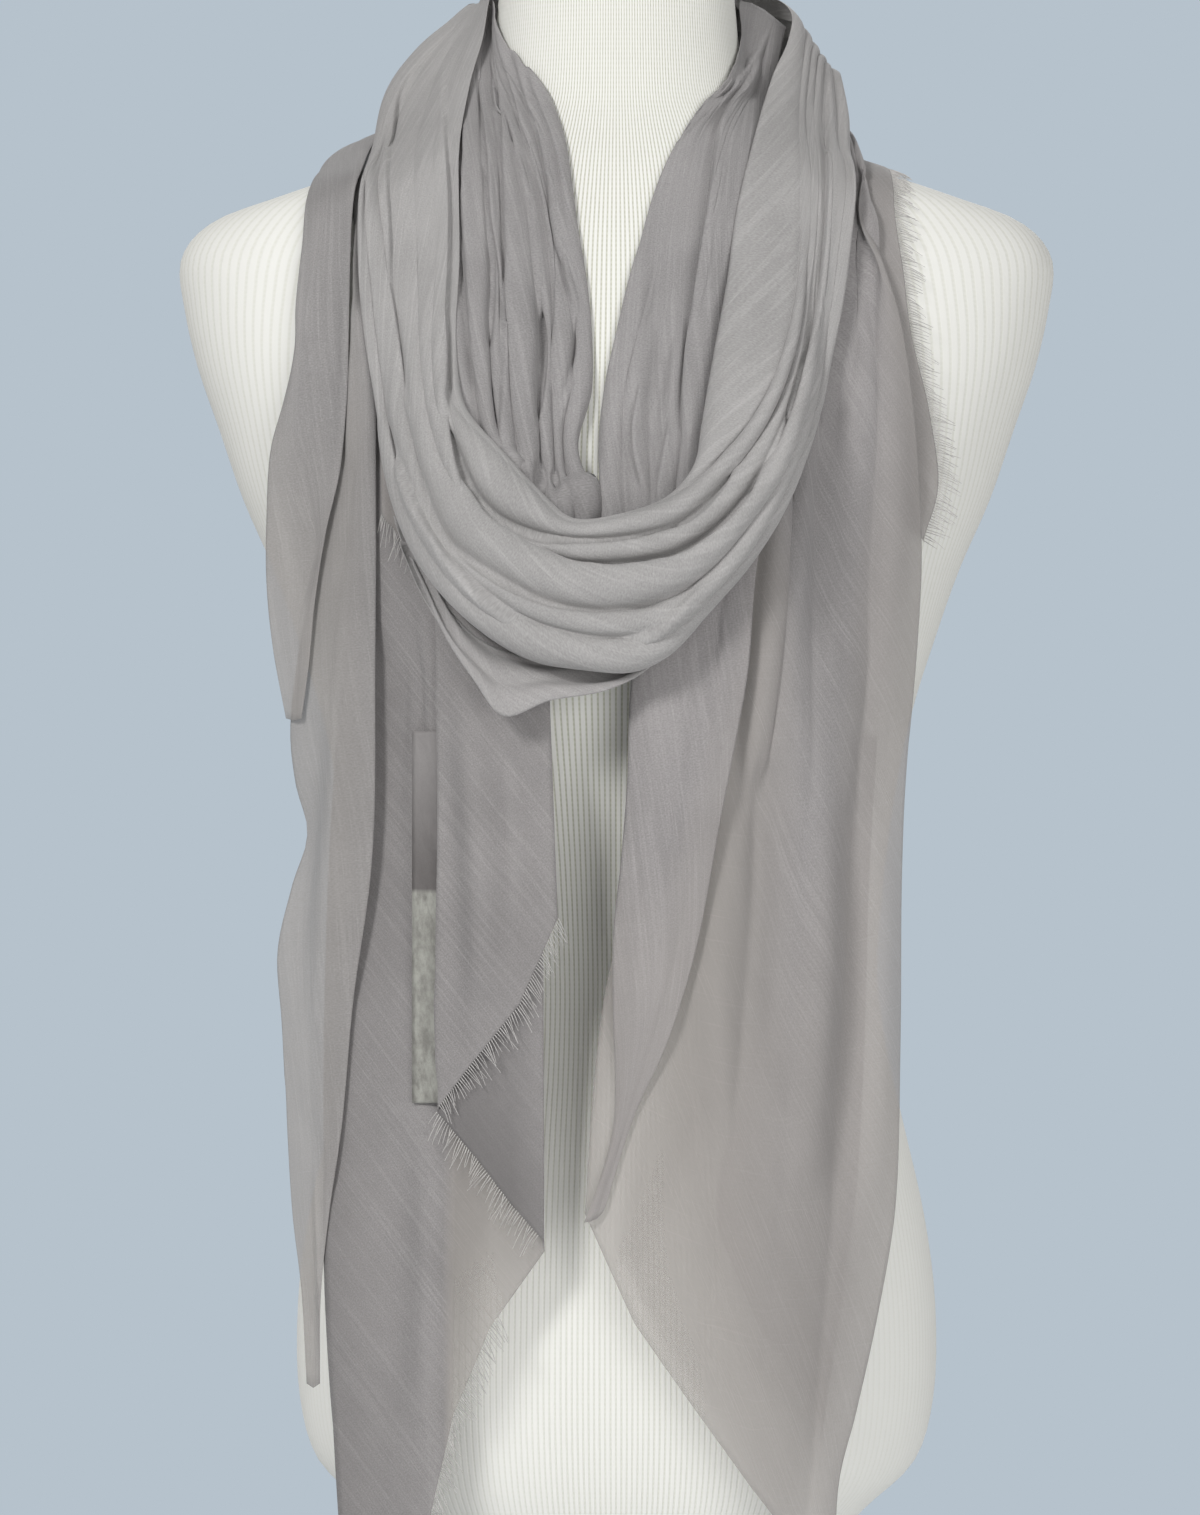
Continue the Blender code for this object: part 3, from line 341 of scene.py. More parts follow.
# Finer grids: how many faces a coarse face becomes, along the lines and between them
FINER = {
    "right_tail_back": (5, 6), "right_tail_under": (6, 6), "right_tail_main": (6, 8),
    "right_tail_inner": (6, 8), "left_tail_pleats": (8, 7), "left_tail_front": (6, 6),
    "left_tail_outer": (6, 6), "left_tail_corner": (4, 5), "care_label": (16, 4),
    "neck_back": (6, 6), "neck_left_pleats": (6, 9), "neck_right_folds": (6, 7),
    "cowl_corner": (7, 7), "cowl_loop": (6, 8),
}
# How dense the cloth shows: a row for each fold line, values along it. Up to 3 a value is about
# the number of layers. Below 1.6 a value also paints the cloth lighter: painted light for the
# white form shining through. Above 3 it is painted shade, and no count of layers.
PLIES_AND_PAINTED_SHADING = {
    "right_tail_main": [(4, 5.5, 3.4, 1.2, 0.7, 0.6), (4, 5.5, 3, 0.8, 0.6, 0.5),
                        (4, 5.5, 2.8, 1.2, 0.9, 0.5), (3.6, 4.4, 2.6, 2, 1.2, 0.7),
                        (3, 3, 1.6, 1.2, 1.1, 0.8), (2, 1.6, 1, 0.9, 0.9, 1.1)],
    "right_tail_inner": [(3, 2, 1.2, 1), (3, 2, 1.3, 1.2), (2, 1.6, 1.2, 1.2),
                         (1.6, 1.4, 1.2, 1.3)],
    "right_tail_back": [(1.5, 1.1), (1.5, 1.1), (1.5, 1)],
    "left_tail_outer": [(2, 2, 0.8), (3, 2, 1), (3, 2, 1)],
    "left_tail_front": [(2, 1.4, 1.1, 1, 1), (3, 2, 1.2, 1.1, 1), (3, 2.4, 1.6, 1.4, 1.4)],
    "left_tail_pleats": [(2, 2, 1.6), (2, 2, 1.6), (2, 2, 1.8), (3, 3, 2), (3, 3.4, 4.8),
                         (3, 3.4, 5), (3, 3.4, 5), (3, 3.2, 4.2), (3, 1.4, 0.9),
                         (2, 1.0, 0.5), (2, 1.0, 0.4), (3, 3, 3.2), (3.4, 3.6, 3.6),
                         (4, 4, 3.8)],
}
# Flat cut of the cloth that shows: width, length and, where it isn't a rectangle, area
FLAT = {
    "right_tail_back": (0.016, 0.315), "right_tail_under": (0.053, 0.30),
    "right_tail_main": (0.21, 0.81, 0.072), "right_tail_inner": (0.036, 0.35),
    "left_tail_pleats": (0.28, 0.60, 0.070), "left_tail_front": (0.044, 0.71, 0.018),
    "left_tail_outer": (0.036, 0.43, 0.011), "left_tail_corner": (0.018, 0.095),
    "care_label": (0.018, 0.17), "neck_back": (0.041, 0.16), "neck_left_pleats": (0.092, 0.27),
    "neck_right_folds": (0.05, 0.28), "cowl_corner": (0.045, 0.18, 0.0037),
    "cowl_loop": (0.14, 1.12, 0.075),
}
# Where the front view's columns and rows lie in the plane y = 0, for the tables of creases
VIEW_MIDDLE = 616.5
VIEW_TOP = 948.45
VIEW_STEP = 0.46
# Edges of folds that lap over the next: how far they are felt, height, column and row of each
# point. The side to the left of the way they run is raised, and the other side is sunk.
LAPS = {
    "neck_left_pleats": [
        (6, 4.2, [(474, 8), (475, 48), (470, 82), (464, 134), (461, 191), (464, 249), (467, 300),
                  (472, 350), (476, 390)]),
        (4, 2.4, [(475, 63), (481, 100), (486, 143), (488, 172), (491, 220), (497, 258),
                  (504, 295), (505, 330)]),
        (5, 3.4, [(490, 14), (495, 63), (500, 100), (504, 172), (506, 230), (507, 268),
                  (505, 300), (503, 352), (501, 400), (498, 440)]),
        (5, 2.8, [(503, 104), (512, 134), (519, 168), (529, 201), (534, 239), (540, 287),
                  (547, 340), (545, 385), (537, 430)]),
        (4, 2.6, [(493, 16), (500, 50), (512, 92), (523, 130), (535, 172), (543, 207),
                  (550, 249), (554, 295), (553, 340), (549, 390)]),
        (5, 2.8, [(496, 12), (508, 38), (521, 84), (531, 115), (540, 147), (550, 197),
                  (558, 239), (566, 280), (576, 320), (577, 352), (568, 388), (556, 420)]),
        (4, 2.0, [(494, 8), (512, 35), (523, 56), (534, 92), (550, 134), (560, 172), (569, 220)]),
        (5, 2.4, [(600, 484), (588, 477), (576, 476), (566, 481), (556, 491), (546, 503)]),
        (4, 1.6, [(498, 440), (510, 452), (526, 466), (540, 470)][::-1]),
    ],
    "neck_right_folds": [
        (7, 4.0, [(771, 26), (753, 56), (726, 94), (700, 120), (680, 140)]),
        (7, 5.5, [(757, 62), (729, 106), (718, 129), (713, 171), (707, 214), (701, 275),
                  (692, 331), (687, 367), (684, 410), (683, 437)]),
        (4, 2.6, [(668, 420), (664, 445), (660, 470), (655, 505)]),
        (5, 2.6, [(640, 380), (632, 430), (636, 470), (650, 505)]),
    ],
    "cowl_loop": [
        (5, -2.2, [(437, 50), (420, 66), (403, 84), (394, 120), (388, 172), (390, 235), (393, 300),
                   (400, 345), (407, 385), (414, 420)]),
        (6, 3.2, [(444, 63), (446, 143), (449, 200), (449, 229), (448, 300), (445, 350),
                  (446, 390), (447, 418), (455, 462), (473, 503), (496, 529), (534, 541),
                  (575, 544), (619, 542), (663, 532), (696, 517), (725, 485), (737, 459)][::-1]),
        (6, 3.4, [(449, 438), (464, 485), (482, 514), (505, 535), (546, 556), (575, 565),
                  (613, 568), (649, 564), (681, 556), (710, 538), (740, 509), (760, 479),
                  (778, 444), (795, 404), (808, 352)][::-1]),
        (6, 2.0, [(458, 550), (478, 570), (511, 591), (546, 605), (590, 613), (619, 612),
                  (649, 608), (680, 590)][::-1]),
        (7, 4.6, [(388, 418), (396, 459), (411, 494), (426, 523), (446, 553), (470, 582),
                  (496, 605), (522, 623), (558, 636), (599, 643), (628, 642), (652, 633),
                  (669, 617), (684, 602), (700, 585)][::-1]),
        (5, 3.0, [(830, 70), (828, 116), (828, 184), (826, 226), (819, 291), (808, 352),
                  (796, 404), (780, 450)]),
    ],
    "left_tail_pleats": [
        (9, 3.6, [(426, 560), (420, 640), (424, 740), (428, 850), (434, 960), (437, 1085)]),
        (6, 2.6, [(413, 560), (404, 640), (402, 740), (404, 860), (410, 960)]),
    ],
    "left_tail_front": [
        (6, 4.0, [(354, 190), (352, 260), (353, 330), (349, 400), (345, 460)]),
    ],
}
# Soft ridges, or troughs where the height is below nought: width, height and points
CREASES = {
    "cowl_loop": [
        (7, 1.5, [(800, 205), (799, 279), (792, 320), (783, 352), (767, 392), (745, 440),
                  (722, 470)]),
        (9, -1.8, [(782, 240), (776, 300), (762, 350), (742, 400), (722, 440)]),
        (12, 2.2, [(418, 100), (412, 180), (414, 260), (418, 340), (424, 420), (440, 480)]),
    ],
    "cowl_corner": [
        (9, -9.0, [(396, 503), (423, 547), (443, 582), (469, 617), (499, 640), (534, 652),
                   (587, 660), (622, 652), (646, 640), (666, 625), (700, 592)]),
    ],
    "neck_left_pleats": [
        (6, -2.6, [(470, 130), (470, 210), (474, 260), (480, 300), (488, 350)]),
        (4, 3.5, [(500, 440), (510, 458), (524, 468), (534, 462)]),
        (6, -3.0, [(530, 488), (545, 478), (556, 470)]),
        (8, 3.4, [(552, 520), (566, 500), (584, 492), (598, 520)]),
    ],
    "neck_right_folds": [
        (7, 2.2, [(700, 250), (692, 300), (684, 350), (672, 410)]),
        (8, -2.4, [(672, 240), (664, 320), (650, 400), (640, 460)]),
        (8, 2.4, [(650, 250), (636, 330), (622, 410), (620, 470)]),
        (7, 2.0, [(740, 110), (728, 170), (720, 240), (712, 310)]),
    ],
    "right_tail_main": [
        (11, -13.0, [(850, 170), (850, 240), (846, 300), (838, 360), (822, 420)]),
        (6, -5.0, [(765, 500), (755, 575), (748, 640), (741, 700), (738, 760), (742, 830)]),
        (12, -8.0, [(826, 400), (834, 480), (838, 560), (834, 650)]),
        (12, 5.0, [(868, 300), (884, 400), (888, 500), (884, 620), (872, 740)]),
        (10, 5.0, [(792, 480), (782, 580), (770, 680), (764, 780)]),
        (10, -6.5, [(770, 760), (776, 850), (778, 940), (774, 1060)]),
        (10, 4.0, [(806, 700), (818, 820), (822, 960), (812, 1100), (800, 1200)]),
        (8, -3.6, [(850, 800), (856, 940), (850, 1080), (838, 1200)]),
        (9, 3.0, [(878, 820), (880, 960), (876, 1100), (864, 1240)]),
        (8, 2.6, [(716, 860), (718, 980), (724, 1100), (736, 1220)]),
        (9, -2.5, [(690, 1000), (694, 1100), (712, 1220)]),
        (5, 2.2, [(615, 1232), (666, 1295), (730, 1380), (814, 1482)]),
        (5, 2.2, [(666, 1265), (721, 1338), (819, 1456)]),
        (4, -2.0, [(640, 1250), (695, 1330), (758, 1412)]),
    ],
    "right_tail_inner": [
        (4, 1.4, [(732, 550), (726, 598), (724, 650), (716, 720), (702, 800), (690, 880)]),
        (3, 0.8, [(655, 700), (652, 780), (648, 860), (640, 950), (634, 1040)]),
        (3, 0.8, [(682, 690), (678, 780), (672, 870), (664, 950)]),
        (4, -1.2, [(700, 640), (696, 720), (688, 800), (678, 890)]),
    ],
    "left_tail_front": [
        (6, -5.0, [(362, 205), (364, 260), (364, 310)]),
        (8, 4.2, [(346, 560), (340, 700), (332, 820), (322, 940), (316, 1040)]),
        (6, -3.8, [(322, 720), (314, 820), (304, 920), (300, 1000)]),
        (4, -1.0, [(285, 1075), (298, 1113), (315, 1147), (324, 1190)]),
    ],
    "left_tail_pleats": [
        (9, 5.4, [(462, 680), (476, 800), (484, 900), (486, 1000)]),
        (9, -5.0, [(500, 720), (512, 820), (512, 900), (504, 980)]),
        (12, -5.0, [(376, 560), (378, 700), (380, 850), (370, 1000)]),
        (7, -2.4, [(448, 700), (452, 850), (458, 980), (456, 1060)]),
        (7, 2.0, [(462, 1250), (474, 1300), (470, 1340)]),
        (14, 3.5, [(352, 1180), (350, 1290), (360, 1420)]),
        (12, -2.4, [(402, 1120), (398, 1290), (392, 1440)]),
        (8, 2.6, [(428, 1120), (426, 1280), (418, 1440)]),
        (8, -4.0, [(417, 620), (418, 700), (419, 780), (420, 900), (424, 1000)]),
    ],
}
# Lips between two fold lines: a row for each strip, heights along its length
LIPS = {
    "cowl_loop": [(0, 0, 0, 1.5, 3, 2, 1, 0.3, 0.8, 3.0, 1),
                  (0, 0, 0, 2.0, 4, 2, 0.5, 0, 1.0, 4.5, 1),
                  (0, 0, 0, 1.5, 3, 1.5, 0.5, 0, 1.0, 3.0, 1),
                  (0, 0.3, 0.5, 2.0, 4, 2, 0.5, 0, 1.4, 4.5, 1),
                  (0, 0.5, 1, 2.5, 4, 2, 0.5, 0, 1.0, 3.0, 1),
                  (0, 0.5, 1, 2.0, 3, 1.5, 0.5, 0, 1.0, 4.0, 1)],
    "neck_left_pleats": [(0, 2, 3), (0, 2, 2), (0, 1, 2), (0, 2, 2), (0, 1, 2), (0, 1, 2),
                         (0, 2, 2)],
    "neck_back": [(2,), (3,), (2,)],
}
# Soft studio lights: name, place, what it points at, size, power and colour
LIGHTS = [
    ("key", (-1.6, -2.5, 2.2), (0, 0, 0.7), 0.7, 55, (1, 0.995, 0.985)),
    ("fill", (1.5, -2.8, 0.4), (0, 0, 0.4), 2.2, 43, (1, 0.995, 0.985)),
    ("rim", (0.4, 2.6, 2.2), (0, 0, 0.7), 1.8, 36, (0.98, 0.99, 1)),
]
SHELL = 0.35               # thickness of the cloth that shows
FINE_GAP = 0.25            # gap between two finer sheets, past that thickness
COARSE_EASING = 4          # passes that spread a coarse sheet's moves to its neighbours
FINE_EASING = 6            # and a finer sheet's
NEIGHBOUR_SHARE = 0.8      # share of a move that the places round it take
SHEET_PASSES = 8           # passes that even out the moves a sheet takes from its coarse grid
LOOP_PASSES = 24           # and those that the cowl takes
LEAST_LEAN = 0.4           # steepest that a layer behind is taken to lean
TURN_FROM = 10.0           # moves turn from the form's side to the eye's over this depth
TURN_OVER = 40.0
FADE_FROM = 10.0           # creases grow from nothing at this depth behind the middle plane
FADE_OVER = 30.0
CREASE_STEPS = 60          # points read along a crease
PLEAT_BOW = 0.9            # share of its bow that a pleat takes
LABEL_LIFT = 6.6           # how far the label lies in front of the form
PLUMB_REACH = 140.0        # cloth hangs plumb from no further out than this
PLUMB_TOP = 870.0          # and from no higher
PLUMB_STEP = 15.0          # heights tried on the way up
PLUMB_START = -400.0       # depth that the form is looked for from
STITCH = 0.0022            # height of a stitch of the knit, in metres
KNIT_SHADE_HEIGHTS = (0.40, 0.52)   # heights between which the painted shade in the knit's grooves fades, in metres
KNIT_ASIDE = (0.02, 0.075)  # distances from the middle line between which it does
LABEL_EDGE = (0.541, 0.543)   # heights between which the label goes under the scarf, in metres
LABEL_SHADOW_FADE = (0.55, 0.60)   # and between which the painted shadow on what covers it fades to paler
FRINGE_SEED = 20
FLOOR_RADIUS = 1250.0
BACKDROP_RADIUS = 9000.0
LAP_STEP = 0.35            # half-width of the step where a fold laps over the next
LIP_SHARE = 0.22           # most that a lip swells, as a share of its width
SHOULDER_SHARE = 0.3       # how much of its bulges the cowl keeps behind the right shoulder
OFF_FORM = 1.1             # least distance between the cloth and the form's coarse solid
FORM_INSET = 0.8           # how far the smooth form's sections lie inside the coarse one's
FORM_FINER = 4             # faces round the smooth form for each of the coarse one
FORM_SKIP = 3              # it takes one in this many of the points between two sections
CURVE_STEPS = 12           # points read from a curve between two given points
BODY_STEP = 4              # every so many points the way outwards is looked up
BODY_SMOOTHING = 6         # passes before a sheet's normals are read for its creases


# Settings that a user would change

def length(name, description, default):
    return bpy.props.FloatProperty(name=name, description=description, default=default,
                                   min=0, precision=5, unit="LENGTH")


def share(name, description, default):
    return bpy.props.FloatProperty(name=name, description=description, default=default,
                                   min=0, max=1, subtype="FACTOR")


def colour(name, description, default):
    return bpy.props.FloatVectorProperty(name=name, description=description, default=default,
                                         min=0, max=1, size=3, subtype="COLOR")


class ScarfCloth(bpy.types.PropertyGroup):
    """Cloth of the scarf."""
    wall: length("Wall", "Thickness of the cloth", SHELL * MM)
    shade: colour("Colour", "Colour of the cloth", (0.385, 0.376, 0.374))
    opacity: share("Opacity", "How much one layer hides of what is behind it", 0.86)
    sheen: share("Sheen", "Soft shine of the fibres at a low angle", 0.25)
    slub: share("Slub", "How clearly thick threads show", 0.45)


class ScarfFringe(bpy.types.PropertyGroup):
    """Frayed ends of the scarf."""
    thread: length("Thread", "Length of a frayed thread", 0.0095)
    pitch: length("Pitch", "Distance between threads", 0.00125)
    thickness: length("Thickness", "Radius of a thread at its root", 0.00024)
    shade: colour("Colour", "Colour of the threads", (0.62, 0.60, 0.585))


class DressForm(bpy.types.PropertyGroup):
    """Dress form and its stand."""
    cover: colour("Cover", "Colour of the knit cover", (0.90, 0.90, 0.86))
    ribs: bpy.props.IntProperty(name="Ribs", description="Ribs round the form", default=264,
                                min=20)
    paint: colour("Paint", "Colour of the stand", (0.74, 0.74, 0.72))


class Stage(bpy.types.PropertyGroup):
    """Floor, light and camera."""
    ambient: share("Ambient", "Light that comes from all round", 0.3)
    backdrop: colour("Backdrop", "Colour of the background", (0.468, 0.539, 0.604))
    floor: colour("Floor", "Colour of the floor", (0.72, 0.74, 0.76))
    focal: bpy.props.FloatProperty(name="Lens", description="Focal length of the camera",
                                   default=103.3, unit="CAMERA")


# Meshes and objects

def make_object(name, work):
    """An object from a bmesh in millimetres."""
    bmesh.ops.scale(work, vec=(MM, MM, MM), verts=work.verts)
    mesh = bpy.data.meshes.new(name)
    work.to_mesh(mesh)
    work.free()
    mesh.shade_smooth()
    item = bpy.data.objects.new(name + "_cloth" if name in FLAT else name, mesh)
    bpy.context.scene.collection.objects.link(item)
    return item


def sight(x, z, depth):
    """Move the point (x, 0, z) along its line of sight to a depth."""
    reach = (depth - EYE[1]) / -EYE[1]
    return np.array([EYE[0] + (x - EYE[0]) * reach, depth, EYE[2] + (z - EYE[2]) * reach])


def curve(points):
    """A smooth curve through points."""
    points = np.asarray(points, float)
    steps = np.linalg.norm(np.diff(points, axis=0), axis=1)
    knots = np.concatenate([[0], np.cumsum(np.maximum(steps, 1e-6) ** 0.5)])
    slopes = np.gradient(points, knots, axis=0)
    dense = []
    for i in range(len(points) - 1):
        span = knots[i + 1] - knots[i]
        for t in np.linspace(0, 1, CURVE_STEPS, endpoint=False):
            h00 = 2 * t ** 3 - 3 * t ** 2 + 1
            h10 = t ** 3 - 2 * t ** 2 + t
            h01 = -2 * t ** 3 + 3 * t ** 2
            h11 = t ** 3 - t ** 2
            dense.append(h00 * points[i] + h10 * span * slopes[i]
                         + h01 * points[i + 1] + h11 * span * slopes[i + 1])
    dense.append(points[-1])
    return np.array(dense)


def read(line, count, early=1.0):
    """Points along a line at even distances, or closer together at its start."""
    run = np.concatenate([[0], np.cumsum(np.linalg.norm(np.diff(line, axis=0), axis=1))])
    wanted = run[-1] * np.linspace(0, 1, count) ** early
    return np.stack([np.interp(wanted, run, line[:, k]) for k in range(3)], axis=1)


def loop_line(front, nape, finer):
    """A closed fold line: from the left shoulder to the middle, to the right shoulder, and round
    the nape back to its start, each stretch with a set number of points."""
    whole = front + nape
    dense = curve(whole[-2:] + whole + whole[:2])
    dip = min(range(len(front)), key=lambda i: abs(front[i][0]))
    marks = [2, 2 + dip, 1 + len(front), 2 + len(whole)]
    line = [dense[marks[0] * CURVE_STEPS]]
    for start, end, count in zip(marks, marks[1:], COWL_STRETCHES):
        stretch = dense[start * CURVE_STEPS:end * CURVE_STEPS + 1]
        line.extend(read(stretch, count * finer + 1)[1:])
    return np.array(line)


def loft(lines, bulges, between, side=1):
    """Rows of points from each fold line to the next, swollen between them.

    bulges has a row for each pair of lines and a value for each point along them. side is -1
    where the lines run the other way round, so that cloth always swells outwards.
    """
    rows = []
    for first, second, bulge in zip(lines, lines[1:], bulges):
        along = np.gradient(first + second, axis=0)
        out = np.cross(along, second - first)
        out /= np.maximum(np.linalg.norm(out, axis=1, keepdims=True), 1e-9)
        most = BULGE_SHARE * np.linalg.norm(second - first, axis=1)
        swell = side * out * np.reshape(np.minimum(bulge, most), (-1, 1))
        for k in range(between):
            t = k / between
            rows.append(first * (1 - t) + second * t + swell * sin(pi * t) ** 0.8)
    rows.append(lines[-1])
    return np.array(rows)


def even(values, count):
    """Spread a few values evenly over the points of a line."""
    return np.interp(np.linspace(0, 1, count), np.linspace(0, 1, len(values)), values)


def wall_tree(grid, thickness):
    """The faces of a cloth wall through a grid, for finding what it meets."""
    rows, count, _ = grid.shape
    normals = np.cross(np.gradient(grid, axis=0), np.gradient(grid, axis=1))
    normals /= np.maximum(np.linalg.norm(normals, axis=2, keepdims=True), 1e-9)
    sides = [grid + normals * thickness / 2, grid - normals * thickness / 2]
    verts = [Vector(p) for side in sides for p in side.reshape(-1, 3)]
    cells = [(i, j) for i in range(rows - 1) for j in range(count - 1)]
    faces = []
    for shift in (0, rows * count):
        for i, j in cells:
            corner = shift + i * count + j
            faces.append((corner, corner + 1, corner + count + 1, corner + count))
    return BVHTree.FromPolygons(verts, faces), cells


def around(values):
    """The mean of each value's four neighbours."""
    padded = np.pad(values, 1, mode="edge")
    return (padded[:-2, 1:-1] + padded[2:, 1:-1] + padded[1:-1, :-2] + padded[1:-1, 2:]) / 4


def eased(need, passes):
    """Let moves fade out round the places that need them."""
    settled = need.copy()
    for _ in range(passes):
        settled = np.maximum(need, around(settled))
    return settled


def sheet_tree(grid):
    """The faces of a sheet through a grid."""
    rows, count, _ = grid.shape
    faces = [(i * count + j, i * count + j + 1, (i + 1) * count + j + 1, (i + 1) * count + j)
             for i in range(rows - 1) for j in range(count - 1)]
    return BVHTree.FromPolygons([Vector(p) for p in grid.reshape(-1, 3)], faces)


class Layers:
    """What the next layer of cloth has to stay clear of."""

    def __init__(self, form):
        self.form = form
        self.cloth = []
        self.walls = [form]

    def clear_of_form(self, grid, gap):
        for point in grid.reshape(-1, 3):
            near, normal, _, _ = self.form.find_nearest(Vector(point))
            height = (Vector(point) - near).dot(normal)
            if height < gap:
                point += np.array(normal) * (gap - height)

    def clear_of_cloth(self, grid, gap, spread):
        """Bring points towards the eye until they clear every layer behind them."""
        rows, count, _ = grid.shape
        amount = np.zeros((rows, count))
        eye = Vector(EYE)
        shifts = [(0, 0), (spread, 0), (-spread, 0), (0, spread), (0, -spread)]
        for i in range(rows):
            for j in range(count):
                if grid[i, j, 1] > FRONT_FROM:
                    continue
                for dx, dz in shifts:
                    point = Vector(grid[i, j]) + Vector((dx, 0, dz))
                    ray = (point - eye).normalized()
                    for tree in self.cloth:
                        hit, normal, _, _ = tree.ray_cast(eye, ray)
                        if hit is None:
                            continue
                        lean = max(abs(normal.dot(ray)), LEAST_LEAN)
                        need = (point - hit).dot(ray) + gap / lean
                        if need < MOST_MOVE:
                            amount[i, j] = max(amount[i, j], need)
        towards = EYE - grid
        towards /= np.linalg.norm(towards, axis=2, keepdims=True)
        grid += towards * eased(amount, COARSE_EASING)[:, :, None]

    def outward(self, grid):
        """Away from the form behind the shoulders, and towards the eye in front."""
        towards = EYE - grid
        towards /= np.linalg.norm(towards, axis=2, keepdims=True)
        away = np.array([self.form.find_nearest(Vector(p))[1] for p in grid.reshape(-1, 3)])
        front = np.clip((-grid[:, :, 1:2] - TURN_FROM) / TURN_OVER, 0, 1)
        way = front * towards + (1 - front) * away.reshape(grid.shape)
        return way / np.linalg.norm(way, axis=2, keepdims=True)

    def part(self, grid, step=0.5, tries=60):
        """Move the places that still meet another wall outwards, a little at a time."""
        rows, count, _ = grid.shape
        way = self.outward(grid)
        for _ in range(tries):
            tree, cells = wall_tree(grid, WALL + 2 * PART_GAP)
            move = np.zeros((rows, count))
            for wall in self.walls:
                for mine, _ in tree.overlap(wall):
                    i, j = cells[mine % len(cells)]
                    move[i:i + 2, j:j + 2] = 1
            if not move.any():
                return
            grid += way * step * np.maximum(move, NEIGHBOUR_SHARE * around(move))[:, :, None]

    def add(self, grid):
        self.walls.append(wall_tree(grid, WALL)[0])
        self.cloth.append(sheet_tree(grid))


# Finer cloth

def spread(values, shape):
    """Values of a coarse grid on a finer one."""
    for axis, count in enumerate(shape):
        place = np.linspace(0, values.shape[axis] - 1, count)
        low = np.minimum(place.astype(int), values.shape[axis] - 2)
        part = (place - low).reshape([-1 if k == axis else 1 for k in range(values.ndim)])
        values = (np.take(values, low, axis) * (1 - part)
                  + np.take(values, low + 1, axis) * part)
    return values


def smooth(grid, passes, closed=False, ends=True):
    """Even out a grid of points; its border stays unless ends is off."""
    for _ in range(passes):
        padded = np.pad(grid, ((1, 1), (1, 1), (0, 0)), mode="edge")
        if closed:
            padded[1:-1, 0] = grid[:, -2]
            padded[1:-1, -1] = grid[:, 1]
        mean = (padded[:-2, 1:-1] + padded[2:, 1:-1] + padded[1:-1, :-2] + padded[1:-1, 2:]) / 4
        settled = (grid + mean) / 2
        if ends:
            settled[0], settled[-1] = grid[0], grid[-1]
            if not closed:
                settled[:, 0], settled[:, -1] = grid[:, 0], grid[:, -1]
        grid = settled
    return grid


def surface_normals(grid):
    normals = np.cross(np.gradient(grid, axis=0), np.gradient(grid, axis=1))
    normals /= np.maximum(np.linalg.norm(normals, axis=2, keepdims=True), 1e-9)
    towards = EYE - grid
    if (normals * towards).sum(2).mean() < 0:
        normals = -normals
    return normals


def seen_at(grid):
    """Where points show from the front, in the plane y = 0."""
    reach = -EYE[1] / (grid[:, :, 1] - EYE[1])
    return EYE[[0, 2]] + (grid[:, :, [0, 2]] - EYE[[0, 2]]) * reach[:, :, None]


def crease(grid, creases, laps):
    """Raise soft ridges, sink troughs and lap folds along lines drawn as they show from the
    front."""
    place = seen_at(grid)
    front = np.clip((FADE_FROM - grid[:, :, 1]) / FADE_OVER, 0, 1)
    rise = np.zeros(grid.shape[:2])
    for width, height, points, lap in ([(*row, False) for row in creases]
                                       + [(*row, True) for row in laps]):
        line = curve([((x - VIEW_MIDDLE) * VIEW_STEP, VIEW_TOP - z * VIEW_STEP, 0)
                      for x, z in points])
        path = read(line, CREASE_STEPS)[:, :2]
        offset = place[:, :, None, :] - path[None, None, :, :]
        apart = np.linalg.norm(offset, axis=3)
        nearest = apart.argmin(2)
        fade = np.sin(np.linspace(0, pi, CREASE_STEPS))[nearest] ** 0.5
        shape = np.exp(-(apart.min(2) / width) ** 2)
        if lap:
            way = np.gradient(path, axis=0)[nearest]
            own = np.take_along_axis(offset, nearest[:, :, None, None], 2)[:, :, 0]
            side = way[:, :, 0] * own[:, :, 1] - way[:, :, 1] * own[:, :, 0]
            side /= np.maximum(np.linalg.norm(way, axis=2), 1e-9)
            shape = np.exp(-apart.min(2) / width) * np.tanh(side / LAP_STEP)
            shape[nearest == 0] = 0
            shape[nearest == CREASE_STEPS - 1] = 0
        rise += height * fade * shape
    normals = surface_normals(smooth(grid, BODY_SMOOTHING))
    return smooth(grid + normals * (rise * front)[:, :, None], 1)


def lips(grid, table):
    """Swell each strip between two fold lines into a lip with a narrow valley at its sides."""
    rows, count, _ = grid.shape
    strips = len(table)
    edges = grid[np.linspace(0, rows - 1, strips + 1).round().astype(int)]
    widths = np.linalg.norm(np.diff(edges, axis=0), axis=2)
    rise = np.zeros((rows, count))
    for row in range(rows):
        place = row / (rows - 1) * strips
        strip = min(int(place), strips - 1)
        high = np.minimum(even(table[strip], count), LIP_SHARE * widths[strip])
        rise[row] = high * abs(sin(pi * (place - strip))) ** 0.6
    return grid + surface_normals(grid) * rise[:, :, None]


